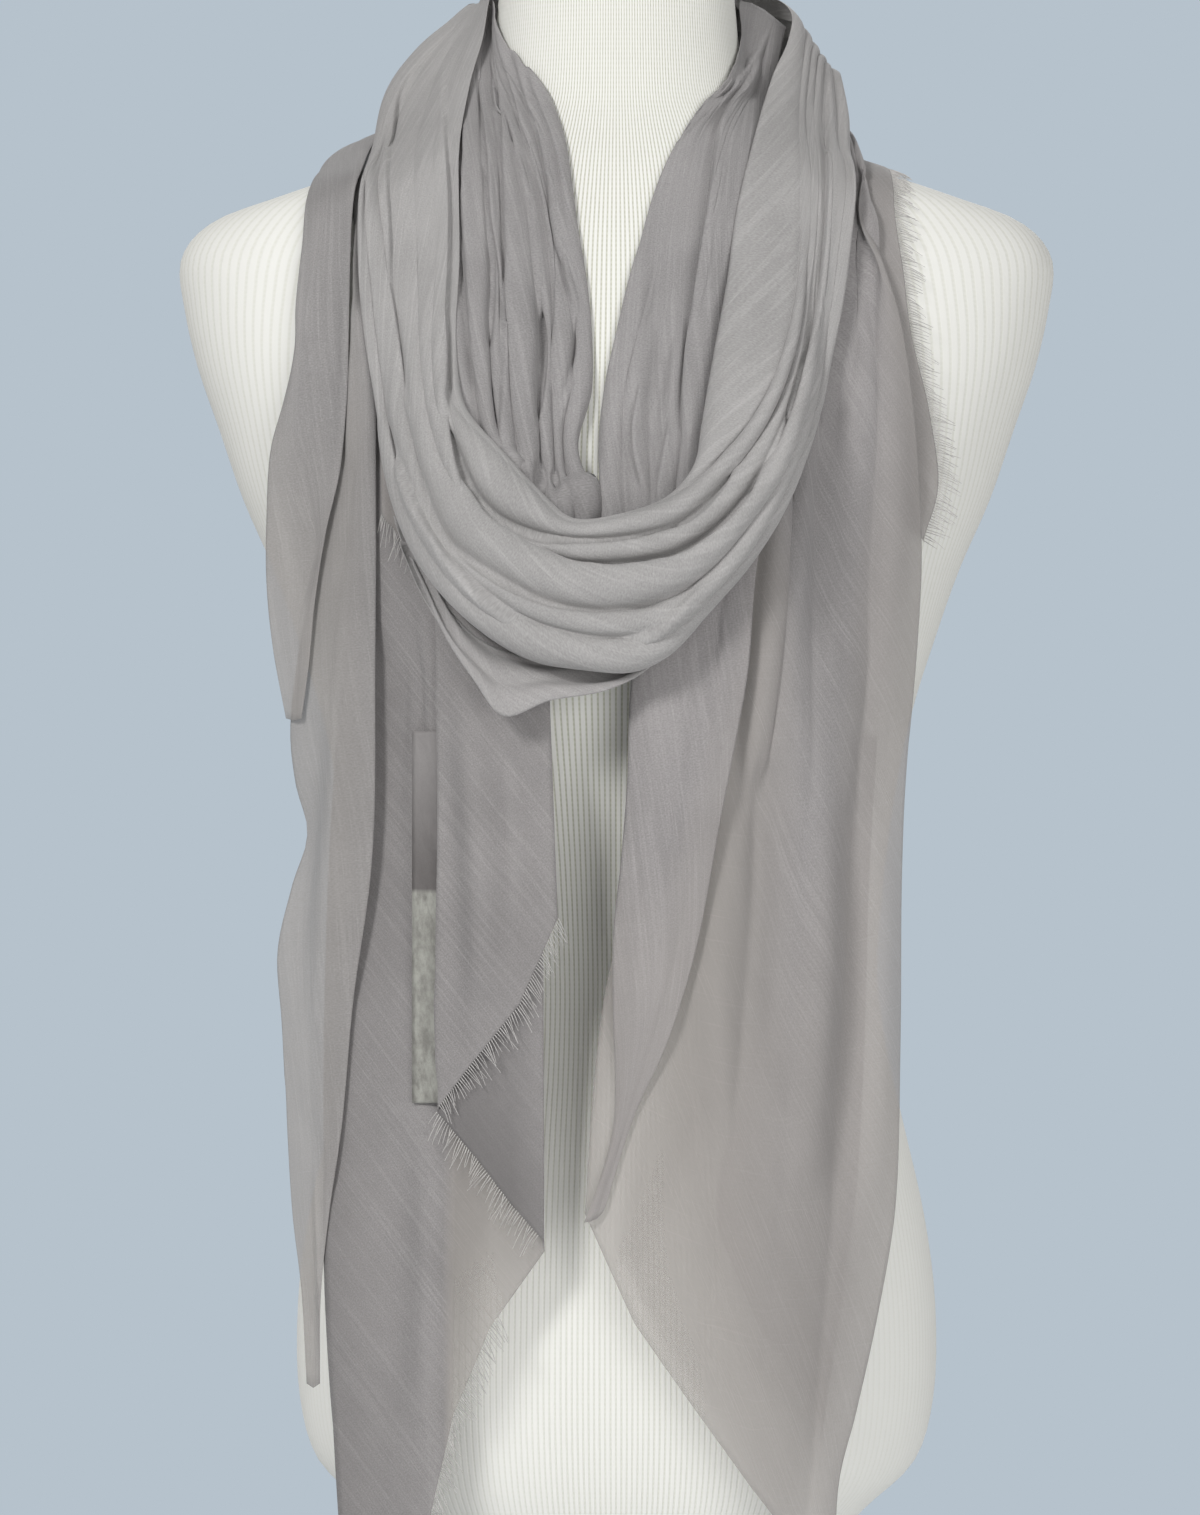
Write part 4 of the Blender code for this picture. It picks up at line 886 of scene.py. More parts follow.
class FineLayers:
    """The finer sheets made so far, for keeping the next one clear of them."""

    def __init__(self):
        self.trees = []

    def add(self, grid):
        self.trees.append(sheet_tree(grid))

    def clear(self, grid, way, gap, reach=4.0):
        """Move points outwards that lie behind, or too close to, an earlier sheet."""
        need = np.zeros(grid.shape[:2])
        for i in range(grid.shape[0]):
            for j in range(grid.shape[1]):
                point = Vector(grid[i, j])
                out = Vector(way[i, j])
                for tree in self.trees:
                    near, _, _, apart = tree.find_nearest(point, reach)
                    if near is None:
                        continue
                    behind = (near - point).dot(out)
                    if behind > 0:
                        need[i, j] = max(need[i, j], behind + gap)
                    elif apart < gap:
                        need[i, j] = max(need[i, j], gap - apart)
        return grid + way * eased(need, FINE_EASING)[:, :, None]


class Wardrobe:
    """What the operators hand on to each other."""
    layers = None
    fine = None
    form = None
    grids = {}
    finishes = {}


def metres_of_cloth(mesh, grid):
    """Turn the grid's own UVs into metres of cloth."""
    layer = mesh.uv_layers["cloth"]
    uv = np.zeros(len(layer.uv) * 2, np.float32)
    layer.uv.foreach_get("vector", uv)
    uv = uv.reshape(-1, 2)
    for axis, over in ((0, 1), (1, 0)):
        steps = np.linalg.norm(np.diff(grid, axis=over), axis=2).mean(1 - over)
        run = np.concatenate([[0], np.cumsum(steps)]) * MM
        uv[:, axis] = np.interp(uv[:, axis], np.linspace(0, 1, len(run)), run)
    layer.uv.foreach_set("vector", uv.ravel())


def fine_cloth(name, grid, ply_values_and_painted_shading=None, closed=False):
    """A sheet of cloth on its finer grid."""
    rows, count, _ = grid.shape
    work = bmesh.new()
    work.loops.layers.uv.new("cloth")
    # The ply attribute holds layer counts for how much shows through, and painted shading: low values
    # paint the cloth lighter, high ones darker
    ply_and_painted_shading = work.verts.layers.float.new("ply_and_painted_shading")
    bmesh.ops.create_grid(work, x_segments=count - 1, y_segments=rows - 1, size=1,
                          calc_uvs=True)
    ply_and_shading_values = np.ones(rows * count) if ply_values_and_painted_shading is None else ply_values_and_painted_shading.ravel()
    for vert, point, number in zip(work.verts, grid.reshape(-1, 3), ply_and_shading_values):
        vert.co = point
        vert[ply_and_painted_shading] = number
    if closed:
        bmesh.ops.remove_doubles(work, verts=work.verts, dist=0.01)
    item = make_object(name, work)
    metres_of_cloth(item.data, grid)
    return item


def line_values(table, rows, count):
    """Spread a table with a row for each fold line over a grid."""
    return spread(np.array([even(row, count) for row in table])[:, :, None], (rows, count))[:, :, 0]


def drape(name, lines, bulges, along, between, early=1.0, over=True, soften=1, side=1):
    """A sheet through fold lines, as the part has it and on its finer grid."""
    layers = Wardrobe.layers
    coarse = [read(curve(line), along, early) for line in lines]
    plain = loft(coarse, [even(b, along) for b in bulges], between, side)
    grid = plain.copy()
    layers.clear_of_form(grid, WALL / 2 + REST_GAP)
    if over:
        layers.clear_of_cloth(grid, WALL + REST_GAP, NEIGHBOUR)
    layers.part(grid)
    layers.add(grid)
    more_along, more_between = FINER[name]
    fine_along = (along - 1) * more_along + 1
    finer = [read(curve(line), fine_along, early) for line in lines]
    fine = loft(finer, [even(b, fine_along) for b in bulges], between * more_between, side)
    moves = smooth(spread(grid - plain, fine.shape[:2]), SHEET_PASSES, ends=False)
    return settle(name, fine + moves, soften)


def settle(name, fine, soften, closed=False):
    """Crease a finer sheet, bring it clear of those behind it and make it an object."""
    fine = smooth(fine, soften, closed)
    if name in LIPS:
        fine = lips(fine, LIPS[name])
    if name in CREASES or name in LAPS:
        fine = crease(fine, CREASES.get(name, []), LAPS.get(name, []))
    layers = Wardrobe.layers
    way = spread(layers.outward(fine[::BODY_STEP, ::BODY_STEP]), fine.shape[:2])
    way /= np.linalg.norm(way, axis=2, keepdims=True)
    layers.clear_of_form(fine, OFF_FORM)
    fine = Wardrobe.fine.clear(fine, way, SHELL + FINE_GAP)
    if closed:
        fine[:, -1] = fine[:, 0]
    Wardrobe.fine.add(fine)
    Wardrobe.grids[name] = fine
    ply_values_and_painted_shading = line_values(PLIES_AND_PAINTED_SHADING[name], *fine.shape[:2]) if name in PLIES_AND_PAINTED_SHADING else None
    item = fine_cloth(name, fine, ply_values_and_painted_shading, closed)
    cloth = bpy.context.scene.scarf_cloth
    wall = item.modifiers.new("wall", "SOLIDIFY")
    wall.thickness = cloth.wall
    wall.offset = 0
    return item


def dress(item, node, finish):
    """Give a sheet its finish and its body, and hide the part that it stands for."""
    item.data.materials.append(finish)
    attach(item, "root")
    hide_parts(node)
    return item


def depth_at(x, z):
    """Depth at which the cowl hangs."""
    heights = [row[0] for row in COWL_HANG][::-1]
    depths = [row[1] for row in COWL_HANG][::-1]
    beyond = max(0, abs(x) - COWL_ROUND_FROM)
    return np.interp(z, heights, depths) + COWL_ROUND * beyond ** 2


def hang_depth(form, x, z):
    """Depth of cloth that lies on the form, or hangs plumb below where it last touched it."""
    best = 0.0
    side = min(max(x, -PLUMB_REACH), PLUMB_REACH)
    height = z
    while height < PLUMB_TOP:
        hit, _, _, _ = form.ray_cast(Vector((side, PLUMB_START, height)), Vector((0, 1, 0)))
        if hit is not None:
            best = min(best, hit.y)
        height += PLUMB_STEP
    return best


def hung_line(form, points, lift, start=()):
    """Points of a fold line on a hanging tail; start holds true points over the shoulder."""
    line = [np.array(p, float) for p in start]
    for (x, z), rise in zip(points, even(np.atleast_1d(lift), len(points))):
        line.append(sight(x, z, hang_depth(form, x, z) - rise))
    return line


# Finishes

class Finish:
    """A material and the nodes in it."""

    def __init__(self, name, roughness):
        self.material = bpy.data.materials.new(name)
        self.material.use_nodes = True
        self.tree = self.material.node_tree
        self.shader = self.tree.nodes["Principled BSDF"]
        self.shader.inputs["Roughness"].default_value = roughness

    def node(self, kind, sockets=(), **settings):
        made = self.tree.nodes.new(kind)
        for key, value in settings.items():
            setattr(made, key, value)
        for key, value in dict(sockets).items():
            self.join(value, made.inputs[key])
        return made

    def join(self, value, socket):
        if isinstance(value, bpy.types.NodeSocket):
            self.tree.links.new(value, socket)
        else:
            socket.default_value = value

    def placed(self, vector, scale=(1, 1, 1), turn=0.0):
        made = self.node("ShaderNodeMapping", {"Vector": vector, "Scale": scale,
                                               "Rotation": (0, 0, turn)})
        return made.outputs["Vector"]

    def noise(self, vector, scale=1.0, detail=2.0, rough=0.5):
        made = self.node("ShaderNodeTexNoise", {"Vector": vector, "Scale": scale,
                                                "Detail": detail, "Roughness": rough})
        return made.outputs["Fac"]

    def between(self, value, low, high, to_low=0.0, to_high=1.0):
        made = self.node("ShaderNodeMapRange", {"Value": value, "From Min": low,
                                                "From Max": high, "To Min": to_low,
                                                "To Max": to_high})
        return made.outputs["Result"]

    def sum(self, operation, first, second=0.0):
        made = self.node("ShaderNodeMath", {0: first, 1: second}, operation=operation)
        return made.outputs[0]

    def blend(self, first, second, factor, kind="MIX"):
        made = self.node("ShaderNodeMix", {0: factor, 6: first, 7: second}, data_type="RGBA",
                         blend_type=kind)
        return made.outputs[2]

    def bump(self, height, strength, distance):
        made = self.node("ShaderNodeBump", {"Height": height, "Strength": strength,
                                            "Distance": distance})
        self.join(made.outputs["Normal"], self.shader.inputs["Normal"])

    def set(self, **values):
        for key, value in values.items():
            self.join(value, self.shader.inputs[key.replace("_", " ")])


def cloth_finish(name, turn, tint=(1, 1, 1), sheer=True, pressed=False):
    """Light twill with slubs; turn is the angle between its threads and its fold lines. Pressed
    cloth keeps its threads straight from pleat to pleat. tint makes a lighter or darker copy of
    the cloth's colour: painted light and shade. Sheer cloth shows what is behind it by its ply
    values, which also paint it lighter or darker as painted light and shade."""
    look = bpy.context.scene.scarf_cloth
    finish = Finish(name, 0.85)
    place = finish.node("ShaderNodeUVMap", uv_map="cloth").outputs["UV"]
    if pressed:
        whole = finish.node("ShaderNodeTexCoord").outputs["Object"]
        parts = finish.node("ShaderNodeSeparateXYZ", {"Vector": whole})
        place = finish.node("ShaderNodeCombineXYZ", {"X": parts.outputs["X"],
                                                     "Y": parts.outputs["Z"]}).outputs[0]
    cloth = finish.placed(place, turn=turn)
    warp = finish.noise(finish.placed(cloth, (460, 7, 1)), 1, 3, 0.62)
    fine_warp = finish.noise(finish.placed(cloth, (1300, 26, 1)), 1, 2, 0.6)
    weft = finish.noise(finish.placed(cloth, (16, 1100, 1)), 1, 2, 0.6)
    streaks = finish.between(warp, 0.48, 0.78)
    thick = finish.sum("ADD", finish.between(fine_warp, 0.56, 0.8),
                       finish.sum("MULTIPLY", finish.between(weft, 0.58, 0.8), 0.45))
    tone = finish.noise(cloth, 12, 3, 0.6)
    weave = finish.noise(finish.placed(cloth, (1500, 1500, 1)), 1, 1, 0.5)
    heather = finish.noise(finish.placed(cloth, (520, 240, 1)), 1, 3, 0.7)
    # tint gives a lit or shaded copy of the cloth's colour: painted light and shade
    base = [look.shade[k] * tint[k] for k in range(3)] + [1]
    dark = [c * 0.82 for c in base[:3]] + [1]
    light = [min(c * 1.4, 1) for c in base[:3]] + [1]
    shade = finish.blend(dark, base, finish.between(tone, 0.3, 0.62))
    shade = finish.blend(shade, light, finish.sum("MULTIPLY", streaks, look.slub))
    shade = finish.blend(shade, light, finish.sum("MULTIPLY", thick, look.slub * 0.7))
    shade = finish.blend(shade, finish.node("ShaderNodeCombineColor", {
        "Red": weave, "Green": weave, "Blue": weave}).outputs[0], 0.45, "SOFT_LIGHT")
    shade = finish.blend(shade, dark, finish.between(heather, 0.52, 0.8, 0, 0.75))
    shader = finish.shader.inputs
    shader["Sheen Weight"].default_value = look.sheen
    shader["Sheen Roughness"].default_value = 0.45
    shader["Specular IOR Level"].default_value = 0.15
    if sheer:
        ply_and_painted_shading = finish.node("ShaderNodeAttribute", attribute_name="ply_and_painted_shading").outputs["Fac"]
        # Painted light: cloth with a low ply value is painted lighter and warmer, for the white form
        # shining through it
        painted_show_through_light = [min(c * k, 1) for c, k in zip(base, (1.34, 1.31, 1.24))] + [1]
        shade = finish.blend(painted_show_through_light, shade, finish.between(ply_and_painted_shading, 0.4, 1.6))
        # Painted shade: ply values above 3 darken the cloth where it lies in shade, down to 0.42 of
        # its colour
        dense = [c * 0.42 for c in base[:3]] + [1]
        shade = finish.blend(shade, dense, finish.between(ply_and_painted_shading, 3.0, 5.5))
        through = finish.sum("POWER", (1 - look.opacity) ** 0.5, ply_and_painted_shading)
        tight = finish.sum("MULTIPLY", through, finish.between(thick, 0, 1, 1, 0.8))
        finish.set(Alpha=finish.sum("SUBTRACT", 1.0, tight))
    finish.set(Base_Color=shade)
    height = finish.sum("ADD", finish.sum("MULTIPLY", weave, 0.8), thick)
    finish.bump(finish.sum("ADD", height, finish.sum("MULTIPLY", streaks, 1.2)), 0.4, 0.0003)
    return finish.material


def knit_finish(look):
    """Ribbed knit cover: ribs run down the form, with a row of stitches in each groove. The stitches
    in the grooves are painted darker as painted shade, fainter low down and towards the sides.
    """
    finish = Finish("form_knit", 0.8)
    place = finish.node("ShaderNodeTexCoord").outputs["Object"]
    parts = finish.node("ShaderNodeSeparateXYZ", {"Vector": place})
    angle = finish.sum("ARCTAN2", parts.outputs["Y"], parts.outputs["X"])
    rib = finish.sum("SINE", finish.sum("MULTIPLY", angle, float(look.ribs)))
    stitch = finish.sum("SINE", finish.sum("MULTIPLY", parts.outputs["Z"], 2 * pi / STITCH))
    groove = finish.between(rib, -0.2, -0.95)
    dots = finish.sum("MULTIPLY", groove, finish.between(stitch, -1, 1, 0.7, 1.0))
    aside = finish.sum("ABSOLUTE", parts.outputs["X"])
    dots = finish.sum("MULTIPLY", dots, finish.between(aside, *KNIT_ASIDE, 1.0, 0.3))
    tone = finish.noise(place, 6, 3, 0.6)
    base = (*look.cover, 1)
    # Painted shade: the darker, olive colour of the stitches in the grooves
    painted_groove_shade = [c * 0.66 for c in look.cover[:2]] + [look.cover[2] * 0.56, 1]
    shade = finish.blend([c * 0.95 for c in look.cover] + [1], base, finish.between(tone, 0.3, 0.7))
    groove_shade_by_height = finish.between(parts.outputs["Z"], *KNIT_SHADE_HEIGHTS, 0.45, 1.0)
    shade = finish.blend(shade, painted_groove_shade, finish.sum("MULTIPLY", dots, groove_shade_by_height))
    finish.set(Base_Color=shade)
    finish.bump(finish.sum("SUBTRACT", 1.0, dots), 0.5, 0.0005)
    finish.shader.inputs["Specular IOR Level"].default_value = 0.2
    return finish.material


def paint_finish(look):
    """Satin paint with a faint unevenness."""
    finish = Finish("stand_paint", 0.38)
    place = finish.node("ShaderNodeTexCoord").outputs["Object"]
    tone = finish.noise(place, 30, 4, 0.6)
    base = (*look.paint, 1)
    finish.set(Base_Color=finish.blend([c * 0.93 for c in look.paint] + [1], base,
                                       finish.between(tone, 0.35, 0.65)))
    finish.set(Roughness=finish.between(tone, 0.3, 0.7, 0.33, 0.45))
    finish.bump(finish.noise(place, 900, 2, 0.5), 0.08, 0.0002)
    return finish.material


def thread_finish(look):
    """Frayed yarn, darker here and there by a random tone."""
    finish = Finish("fringe_yarn", 0.8)
    place = finish.node("ShaderNodeTexCoord").outputs["Object"]
    tone = finish.noise(place, 260, 2, 0.6)
    base = (*look.shade, 1)
    finish.set(Base_Color=finish.blend([c * 0.72 for c in look.shade] + [1], base,
                                       finish.between(tone, 0.35, 0.62)))
    finish.shader.inputs["Sheen Weight"].default_value = 0.2
    return finish.material


def label_finish():
    """Thin crinkled ribbon; its upper part lies under a layer of the scarf. That part is painted as
    the cloth with a painted shadow, darkest where the label goes under, and the crinkles' troughs are
    painted darker as painted shade.
    """
    finish = Finish("label_ribbon", 0.6)
    place = finish.node("ShaderNodeTexCoord").outputs["Object"]
    height = finish.node("ShaderNodeSeparateXYZ", {"Vector": place}).outputs["Z"]
    wrinkle = finish.noise(finish.placed(place, (1, 1, 0.6)), 160, 4, 0.65)
    weave = finish.noise(place, 1800, 1, 0.5)
    pale = (0.40, 0.40, 0.365, 1)
    # Painted shade: the crinkles' troughs take the darker colour and their crests the paler one
    shade = finish.blend((0.24, 0.235, 0.215, 1), pale, finish.between(wrinkle, 0.36, 0.6))
    covered = finish.between(height, *LABEL_EDGE)
    # Painted shadow: where the label lies under the scarf it is dark low down and fades to the
    # cloth's paler colour higher up
    under = finish.blend((0.13, 0.118, 0.118, 1), (0.27, 0.255, 0.255, 1),
                         finish.between(height, *LABEL_SHADOW_FADE))
    shade = finish.blend(shade, under, finish.sum("MULTIPLY", covered, 0.9))
    finish.set(Base_Color=shade)
    finish.bump(finish.sum("ADD", wrinkle, finish.sum("MULTIPLY", weave, 0.1)), 0.7, 0.0012)
    return finish.material


def get_finish(name):
    """The finish of a kind of piece, made once."""
    # Each kind's tint is painted light and shade: lit and shaded copies of one cloth, lighter for the
    # cowl loop, corner and inner roll, darker for the neck, the left end and the front panel
    kinds = {
        "loop": lambda: cloth_finish("scarf_loop", radians(76), (1.06, 1.06, 1.055), False),
        "neck": lambda: cloth_finish("scarf_neck", radians(82), (0.88, 0.87, 0.875), False),
        "corner": lambda: cloth_finish("scarf_corner", radians(50), (1.02, 1.01, 1.01), False),
        "right": lambda: cloth_finish("scarf_right_end", radians(42), (1.0, 0.98, 0.985)),
        "inner": lambda: cloth_finish("scarf_inner_roll", radians(80), (1.02, 0.995, 1.0)),
        "left": lambda: cloth_finish("scarf_left_end", radians(-38), (0.90, 0.88, 0.88),
                                     pressed=True),
        "front": lambda: cloth_finish("scarf_front_panel", radians(84), (0.95, 0.94, 0.94)),
    }
    if name not in Wardrobe.finishes:
        Wardrobe.finishes[name] = kinds[name]()
    return Wardrobe.finishes[name]


# Pieces

def form_point(section, angle):
    height, half_width, front, behind, drop = section
    power = 2 / FORM_SQUARENESS
    across = np.sign(cos(angle)) * abs(cos(angle)) ** power
    fore = np.sign(sin(angle)) * abs(sin(angle)) ** power
    x = half_width * across
    y = fore * (behind if fore > 0 else front)
    z = height - drop * abs(across) ** 3
    if y < 0:
        away = ((abs(x) - BUST_X) ** 2 + (z - BUST_Z) ** 2) / (2 * BUST_SPREAD ** 2)
        y -= BUST_RISE * np.exp(-away) * abs(fore)
    return Vector((x, y, z))


def form_solid(sections, sides):
    """A closed solid through rings, as a bmesh."""
    work = bmesh.new()
    rings = []
    for section in sections:
        ring = [work.verts.new(form_point(section, 2 * pi * i / sides)) for i in range(sides)]
        rings.append([work.edges.new((ring[i], ring[i - 1])) for i in range(sides)])
    for upper, lower in zip(rings, rings[1:]):
        bmesh.ops.bridge_loops(work, edges=upper + lower)
    bmesh.ops.contextual_create(work, geom=rings[0])
    bmesh.ops.contextual_create(work, geom=rings[-1])
    bmesh.ops.recalc_face_normals(work, faces=work.faces)
    return work


def form_profile():
    """Smooth sections of the form, from the table's own."""
    table = np.array(FORM_SECTIONS, float)
    first = curve(np.column_stack([table[:, 0], table[:, 1], table[:, 2]]))
    second = curve(np.column_stack([table[:, 0], table[:, 3], table[:, 4]]))
    return np.column_stack([first, second[:, 1:]])


class SCARF_OT_dress_form(bpy.types.Operator):
    """Make the smooth dress form with its knit cover"""
    bl_idname = "scarf.dress_form"
    bl_label = "Dress form"

    def execute(self, context):
        Wardrobe.form = coarse_form()
        Wardrobe.layers = Layers(Wardrobe.form)
        Wardrobe.fine = FineLayers()
        look = context.scene.scarf_form
        sections = [(height, half_width - FORM_INSET, front - FORM_INSET, behind - FORM_INSET,
                     max(drop, 0))
                    for height, half_width, front, behind, drop in form_profile()[::FORM_SKIP]]
        work = form_solid(sections, FORM_SIDES * FORM_FINER)
        item = make_object("form_cover", work)
        item.data.set_sharp_from_angle(angle=radians(60))
        item.data.materials.append(knit_finish(look))
        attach(item, "root")
        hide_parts("dress_form")
        return {"FINISHED"}


def coarse_form():
    """The form's coarse solid, which the cloth is laid on."""
    work = form_solid(FORM_SECTIONS, FORM_SIDES)
    bmesh.ops.triangulate(work, faces=work.faces)
    solid = BVHTree.FromBMesh(work)
    work.free()
    return solid


class SCARF_OT_stand(bpy.types.Operator):
    """Paint the stand's base and pole"""
    bl_idname = "scarf.stand"
    bl_label = "Stand"

    def execute(self, context):
        paint = paint_finish(context.scene.scarf_form)
        for name in ("stand_base", "stand_pole"):
            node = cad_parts[name]
            node.data.materials.clear()
            node.data.materials.append(paint)
        return {"FINISHED"}


def tail(name, table, bulges, along, between, finish, early=1.0):
    """A stretch of a hanging end."""
    lines = [hung_line(Wardrobe.form, front, lift, start) for start, front, lift in table]
    item = drape(name, lines, bulges, along, between, early)
    dress(item, name, get_finish(finish))


class SCARF_OT_right_end(bpy.types.Operator):
    """Hang the right end, from its back layer forwards"""
    bl_idname = "scarf.right_end"
    bl_label = "Right end"

    def execute(self, context):
        tail("right_tail_back", RIGHT_TAIL_BACK, [(0, 1), (0, 1)], 18, 2, "right", 1.2)
        tail("right_tail_under", RIGHT_TAIL_UNDER, [(0, 2), (0, 2)], 13, 2, "right")
        tail("right_tail_main", RIGHT_TAIL_MAIN,
             [(0, 2, 2, 1), (1, 3, 3, 1), (1, 3, 3, 1), (1, 3, 3, 1), (0, 2, 2, 1)], 26, 2,
             "right", 1.3)
        tail("right_tail_inner", RIGHT_TAIL_INNER, [(1, 2, 0), (1, 1, 0), (1, 1, 0)], 20, 2,
             "inner")
        return {"FINISHED"}


class SCARF_OT_left_end(bpy.types.Operator):
    """Hang the left end: its pleats, front panel, outer leaf and small corner"""
    bl_idname = "scarf.left_end"
    bl_label = "Left end"

    def execute(self, context):
        form = Wardrobe.form
        lines = []
        for (top_x, top_z, foot_x, foot_z, lift), bow in zip(LEFT_PLEATS, LEFT_PLEATS_BOW):
            line = []
            for t in np.linspace(0, 1, 6):
                x = top_x + (foot_x - top_x) * t + bow * sin(pi * t) * PLEAT_BOW
                z = top_z + (foot_z - top_z) * t
                line.append(sight(x, z, hang_depth(form, x, z) - lift))
            lines.append(line)
        item = drape("left_tail_pleats", lines, [(0, 0)] * (len(lines) - 1), 16, 1, soften=6)
        dress(item, "left_tail_pleats", get_finish("left"))
        tail("left_tail_front", LEFT_TAIL_FRONT, [(0, 2, 0), (0, 2, 0)], 26, 3, "front", 1.3)
        tail("left_tail_outer", LEFT_TAIL_OUTER, [(0, 2, 0), (0, 1, 0)], 20, 3, "front", 1.15)
        tail("left_tail_corner", LEFT_CORNER, [(1, 1), (1, 1)], 8, 2, "left")
        return {"FINISHED"}


class SCARF_OT_care_label(bpy.types.Operator):
    """Lay the blank ribbon between the pleats of the left end"""
    bl_idname = "scarf.care_label"
    bl_label = "Label"

    def execute(self, context):
        left, right, top, foot = LABEL
        lines = [[sight(x, z, hang_depth(Wardrobe.form, x, z) - LABEL_LIFT)
                  for z in np.linspace(top, foot, 5)] for x in (left, right)]
        item = drape("care_label", lines, [(0, 0)], 8, 2, over=False)
        dress(item, "care_label", label_finish())
        return {"FINISHED"}


class SCARF_OT_neck_turn(bpy.types.Operator):
    """Fold the inner turn round the neck"""
    bl_idname = "scarf.neck_turn"
    bl_label = "Inner turn"

    def execute(self, context):
        nape = [[np.array(p, float) for p in line] for line in NECK_BACK]
        item = drape("neck_back", nape, [(0, 3, 0)] * 3, 16, 2)
        dress(item, "neck_back", get_finish("neck"))
        for name, table, bulges, along, between in (
                ("neck_left_pleats", LEFT_NECK, LEFT_NECK_BULGE, 18, 2),
                ("neck_right_folds", RIGHT_NECK, RIGHT_NECK_BULGE, 16, 3)):
            lines = [[sight(x, z, depth_at(x, z) + b)
                      for (x, z), b in zip(points, even(behind, len(points)))]
                     for behind, points in table]
            item = drape(name, lines, bulges, along, between)
            dress(item, name, get_finish("neck"))
        return {"FINISHED"}


def cowl_lines():
    """The cowl's fold lines: the points in front of each, and those round the nape."""
    for behind, front, nape in COWL:
        shown = [sight(x, z, depth_at(x, z) + b)
                 for (x, z), b in zip(front, even(behind, len(front)))]
        yield shown, [np.array(p, float) for p in nape]


class SCARF_OT_cowl(bpy.types.Operator):
    """Drape the cowl, a closed loop, over the corner that hangs out below it"""
    bl_idname = "scarf.cowl"
    bl_label = "Cowl"

    def execute(self, context):
        lines = [[sight(x, z, depth_at(x, z) + behind) for x, z in points]
                 for behind, points in CORNER_FLAP]
        item = drape("cowl_corner", lines, [(2, 2), (2, 2)], 14, 2, side=-1)
        dress(item, "cowl_corner", get_finish("corner"))

        layers = Wardrobe.layers
        coarse = [loop_line(front, nape, 1) for front, nape in cowl_lines()]
        points = sum(COWL_STRETCHES) + 1
        plain = loft(coarse, [even(b, points) for b in COWL_BULGE], COWL_BETWEEN, -1)
        grid = plain.copy()
        layers.clear_of_form(grid, WALL / 2 + REST_GAP)
        layers.clear_of_cloth(grid, WALL + REST_GAP, NEIGHBOUR)
        layers.part(grid)
        grid[:, -1] = grid[:, 0]
        more_along, more_between = FINER["cowl_loop"]
        finer = [loop_line(front, nape, more_along) for front, nape in cowl_lines()]
        points = sum(COWL_STRETCHES) * more_along + 1
        softer = [(*row[:4], row[4] * SHOULDER_SHARE, row[5]) for row in COWL_BULGE]
        fine = loft(finer, [even(b, points) for b in softer], COWL_BETWEEN * more_between, -1)
        fine += smooth(spread(grid - plain, fine.shape[:2]), LOOP_PASSES, True, False)
        fine[:, -1] = fine[:, 0]
        item = settle("cowl_loop", fine, 2, True)
        dress(item, "cowl_loop", get_finish("loop"))
        return {"FINISHED"}


# Fringe: the sheet, its border, from and to along that border, and the node it stands for
FRINGES = [
    ("left_tail_pleats", "foot", 0.0, 0.231, (0.55, -0.12, -1), "fringe_left_first"),
    ("left_tail_pleats", "foot", 0.308, 0.538, (-0.6, -0.12, -1), "fringe_left_second"),
    ("left_tail_pleats", "foot", 0.692, 1.0, (0.8, -0.12, -1), "fringe_left_third"),
    ("left_tail_corner", "foot", 0.0, 1.0, (-0.2, -0.12, -1), "fringe_left_corner"),
    ("right_tail_under", "foot", 0.0, 1.0, (-0.5, 0.12, -1), "fringe_right_under"),
    ("right_tail_back", "side", 0.3, 1.0, (1, 0, -0.3), "fringe_right_back"),
]


class SCARF_OT_fringe(bpy.types.Operator):
    """Fray the cut ends into fine threads"""
    bl_idname = "scarf.fringe"
    bl_label = "Fringe"

    def execute(self, context):
        look = context.scene.scarf_fringe
        yarn = thread_finish(look)
        for number, (sheet, border, start, end, out, node) in enumerate(FRINGES):
            draw = np.random.RandomState(number + FRINGE_SEED)
            grid = Wardrobe.grids[sheet]
            edge = grid[:, -1] if border == "foot" else grid[-1]
            edge = edge[int(start * (len(edge) - 1)):int(end * (len(edge) - 1)) + 1]
            span = np.linalg.norm(np.diff(edge, axis=0), axis=1).sum() * MM
            count = max(6, int(span / look.pitch))
            roots = read(edge, count) * MM
            threads = bpy.data.curves.new(node + "_threads", "CURVE")
            threads.dimensions = "3D"
            threads.bevel_depth = look.thickness
            threads.bevel_resolution = 0
            threads.use_fill_caps = True
            out = np.array(out, float) / np.linalg.norm(out)
            clump = 0
            for root in roots:
                clump = clump * 0.75 + draw.uniform(-0.22, 0.22)
                way = out + np.array([clump, draw.uniform(-0.15, 0.05), draw.uniform(-0.1, 0.1)])
                way /= np.linalg.norm(way)
                reach = look.thread * draw.uniform(0.55, 1.15)
                side = draw.uniform(-0.12, 0.12, 3)
                spline = threads.splines.new("POLY")
                spline.points.add(4)
                for k in range(5):
                    t = k / 4
                    place = root + reach * (way * t + side * t * t
                                            + np.array([0, 0, -0.15]) * t * t)
                    spline.points[k].co = (*place, 1)
                    spline.points[k].radius = 1 - 0.55 * t
            strands = bpy.data.objects.new(node + "_threads", threads)
            context.scene.collection.objects.link(strands)
            threads.materials.append(yarn)
            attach(strands, "root")
            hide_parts(node)
        return {"FINISHED"}


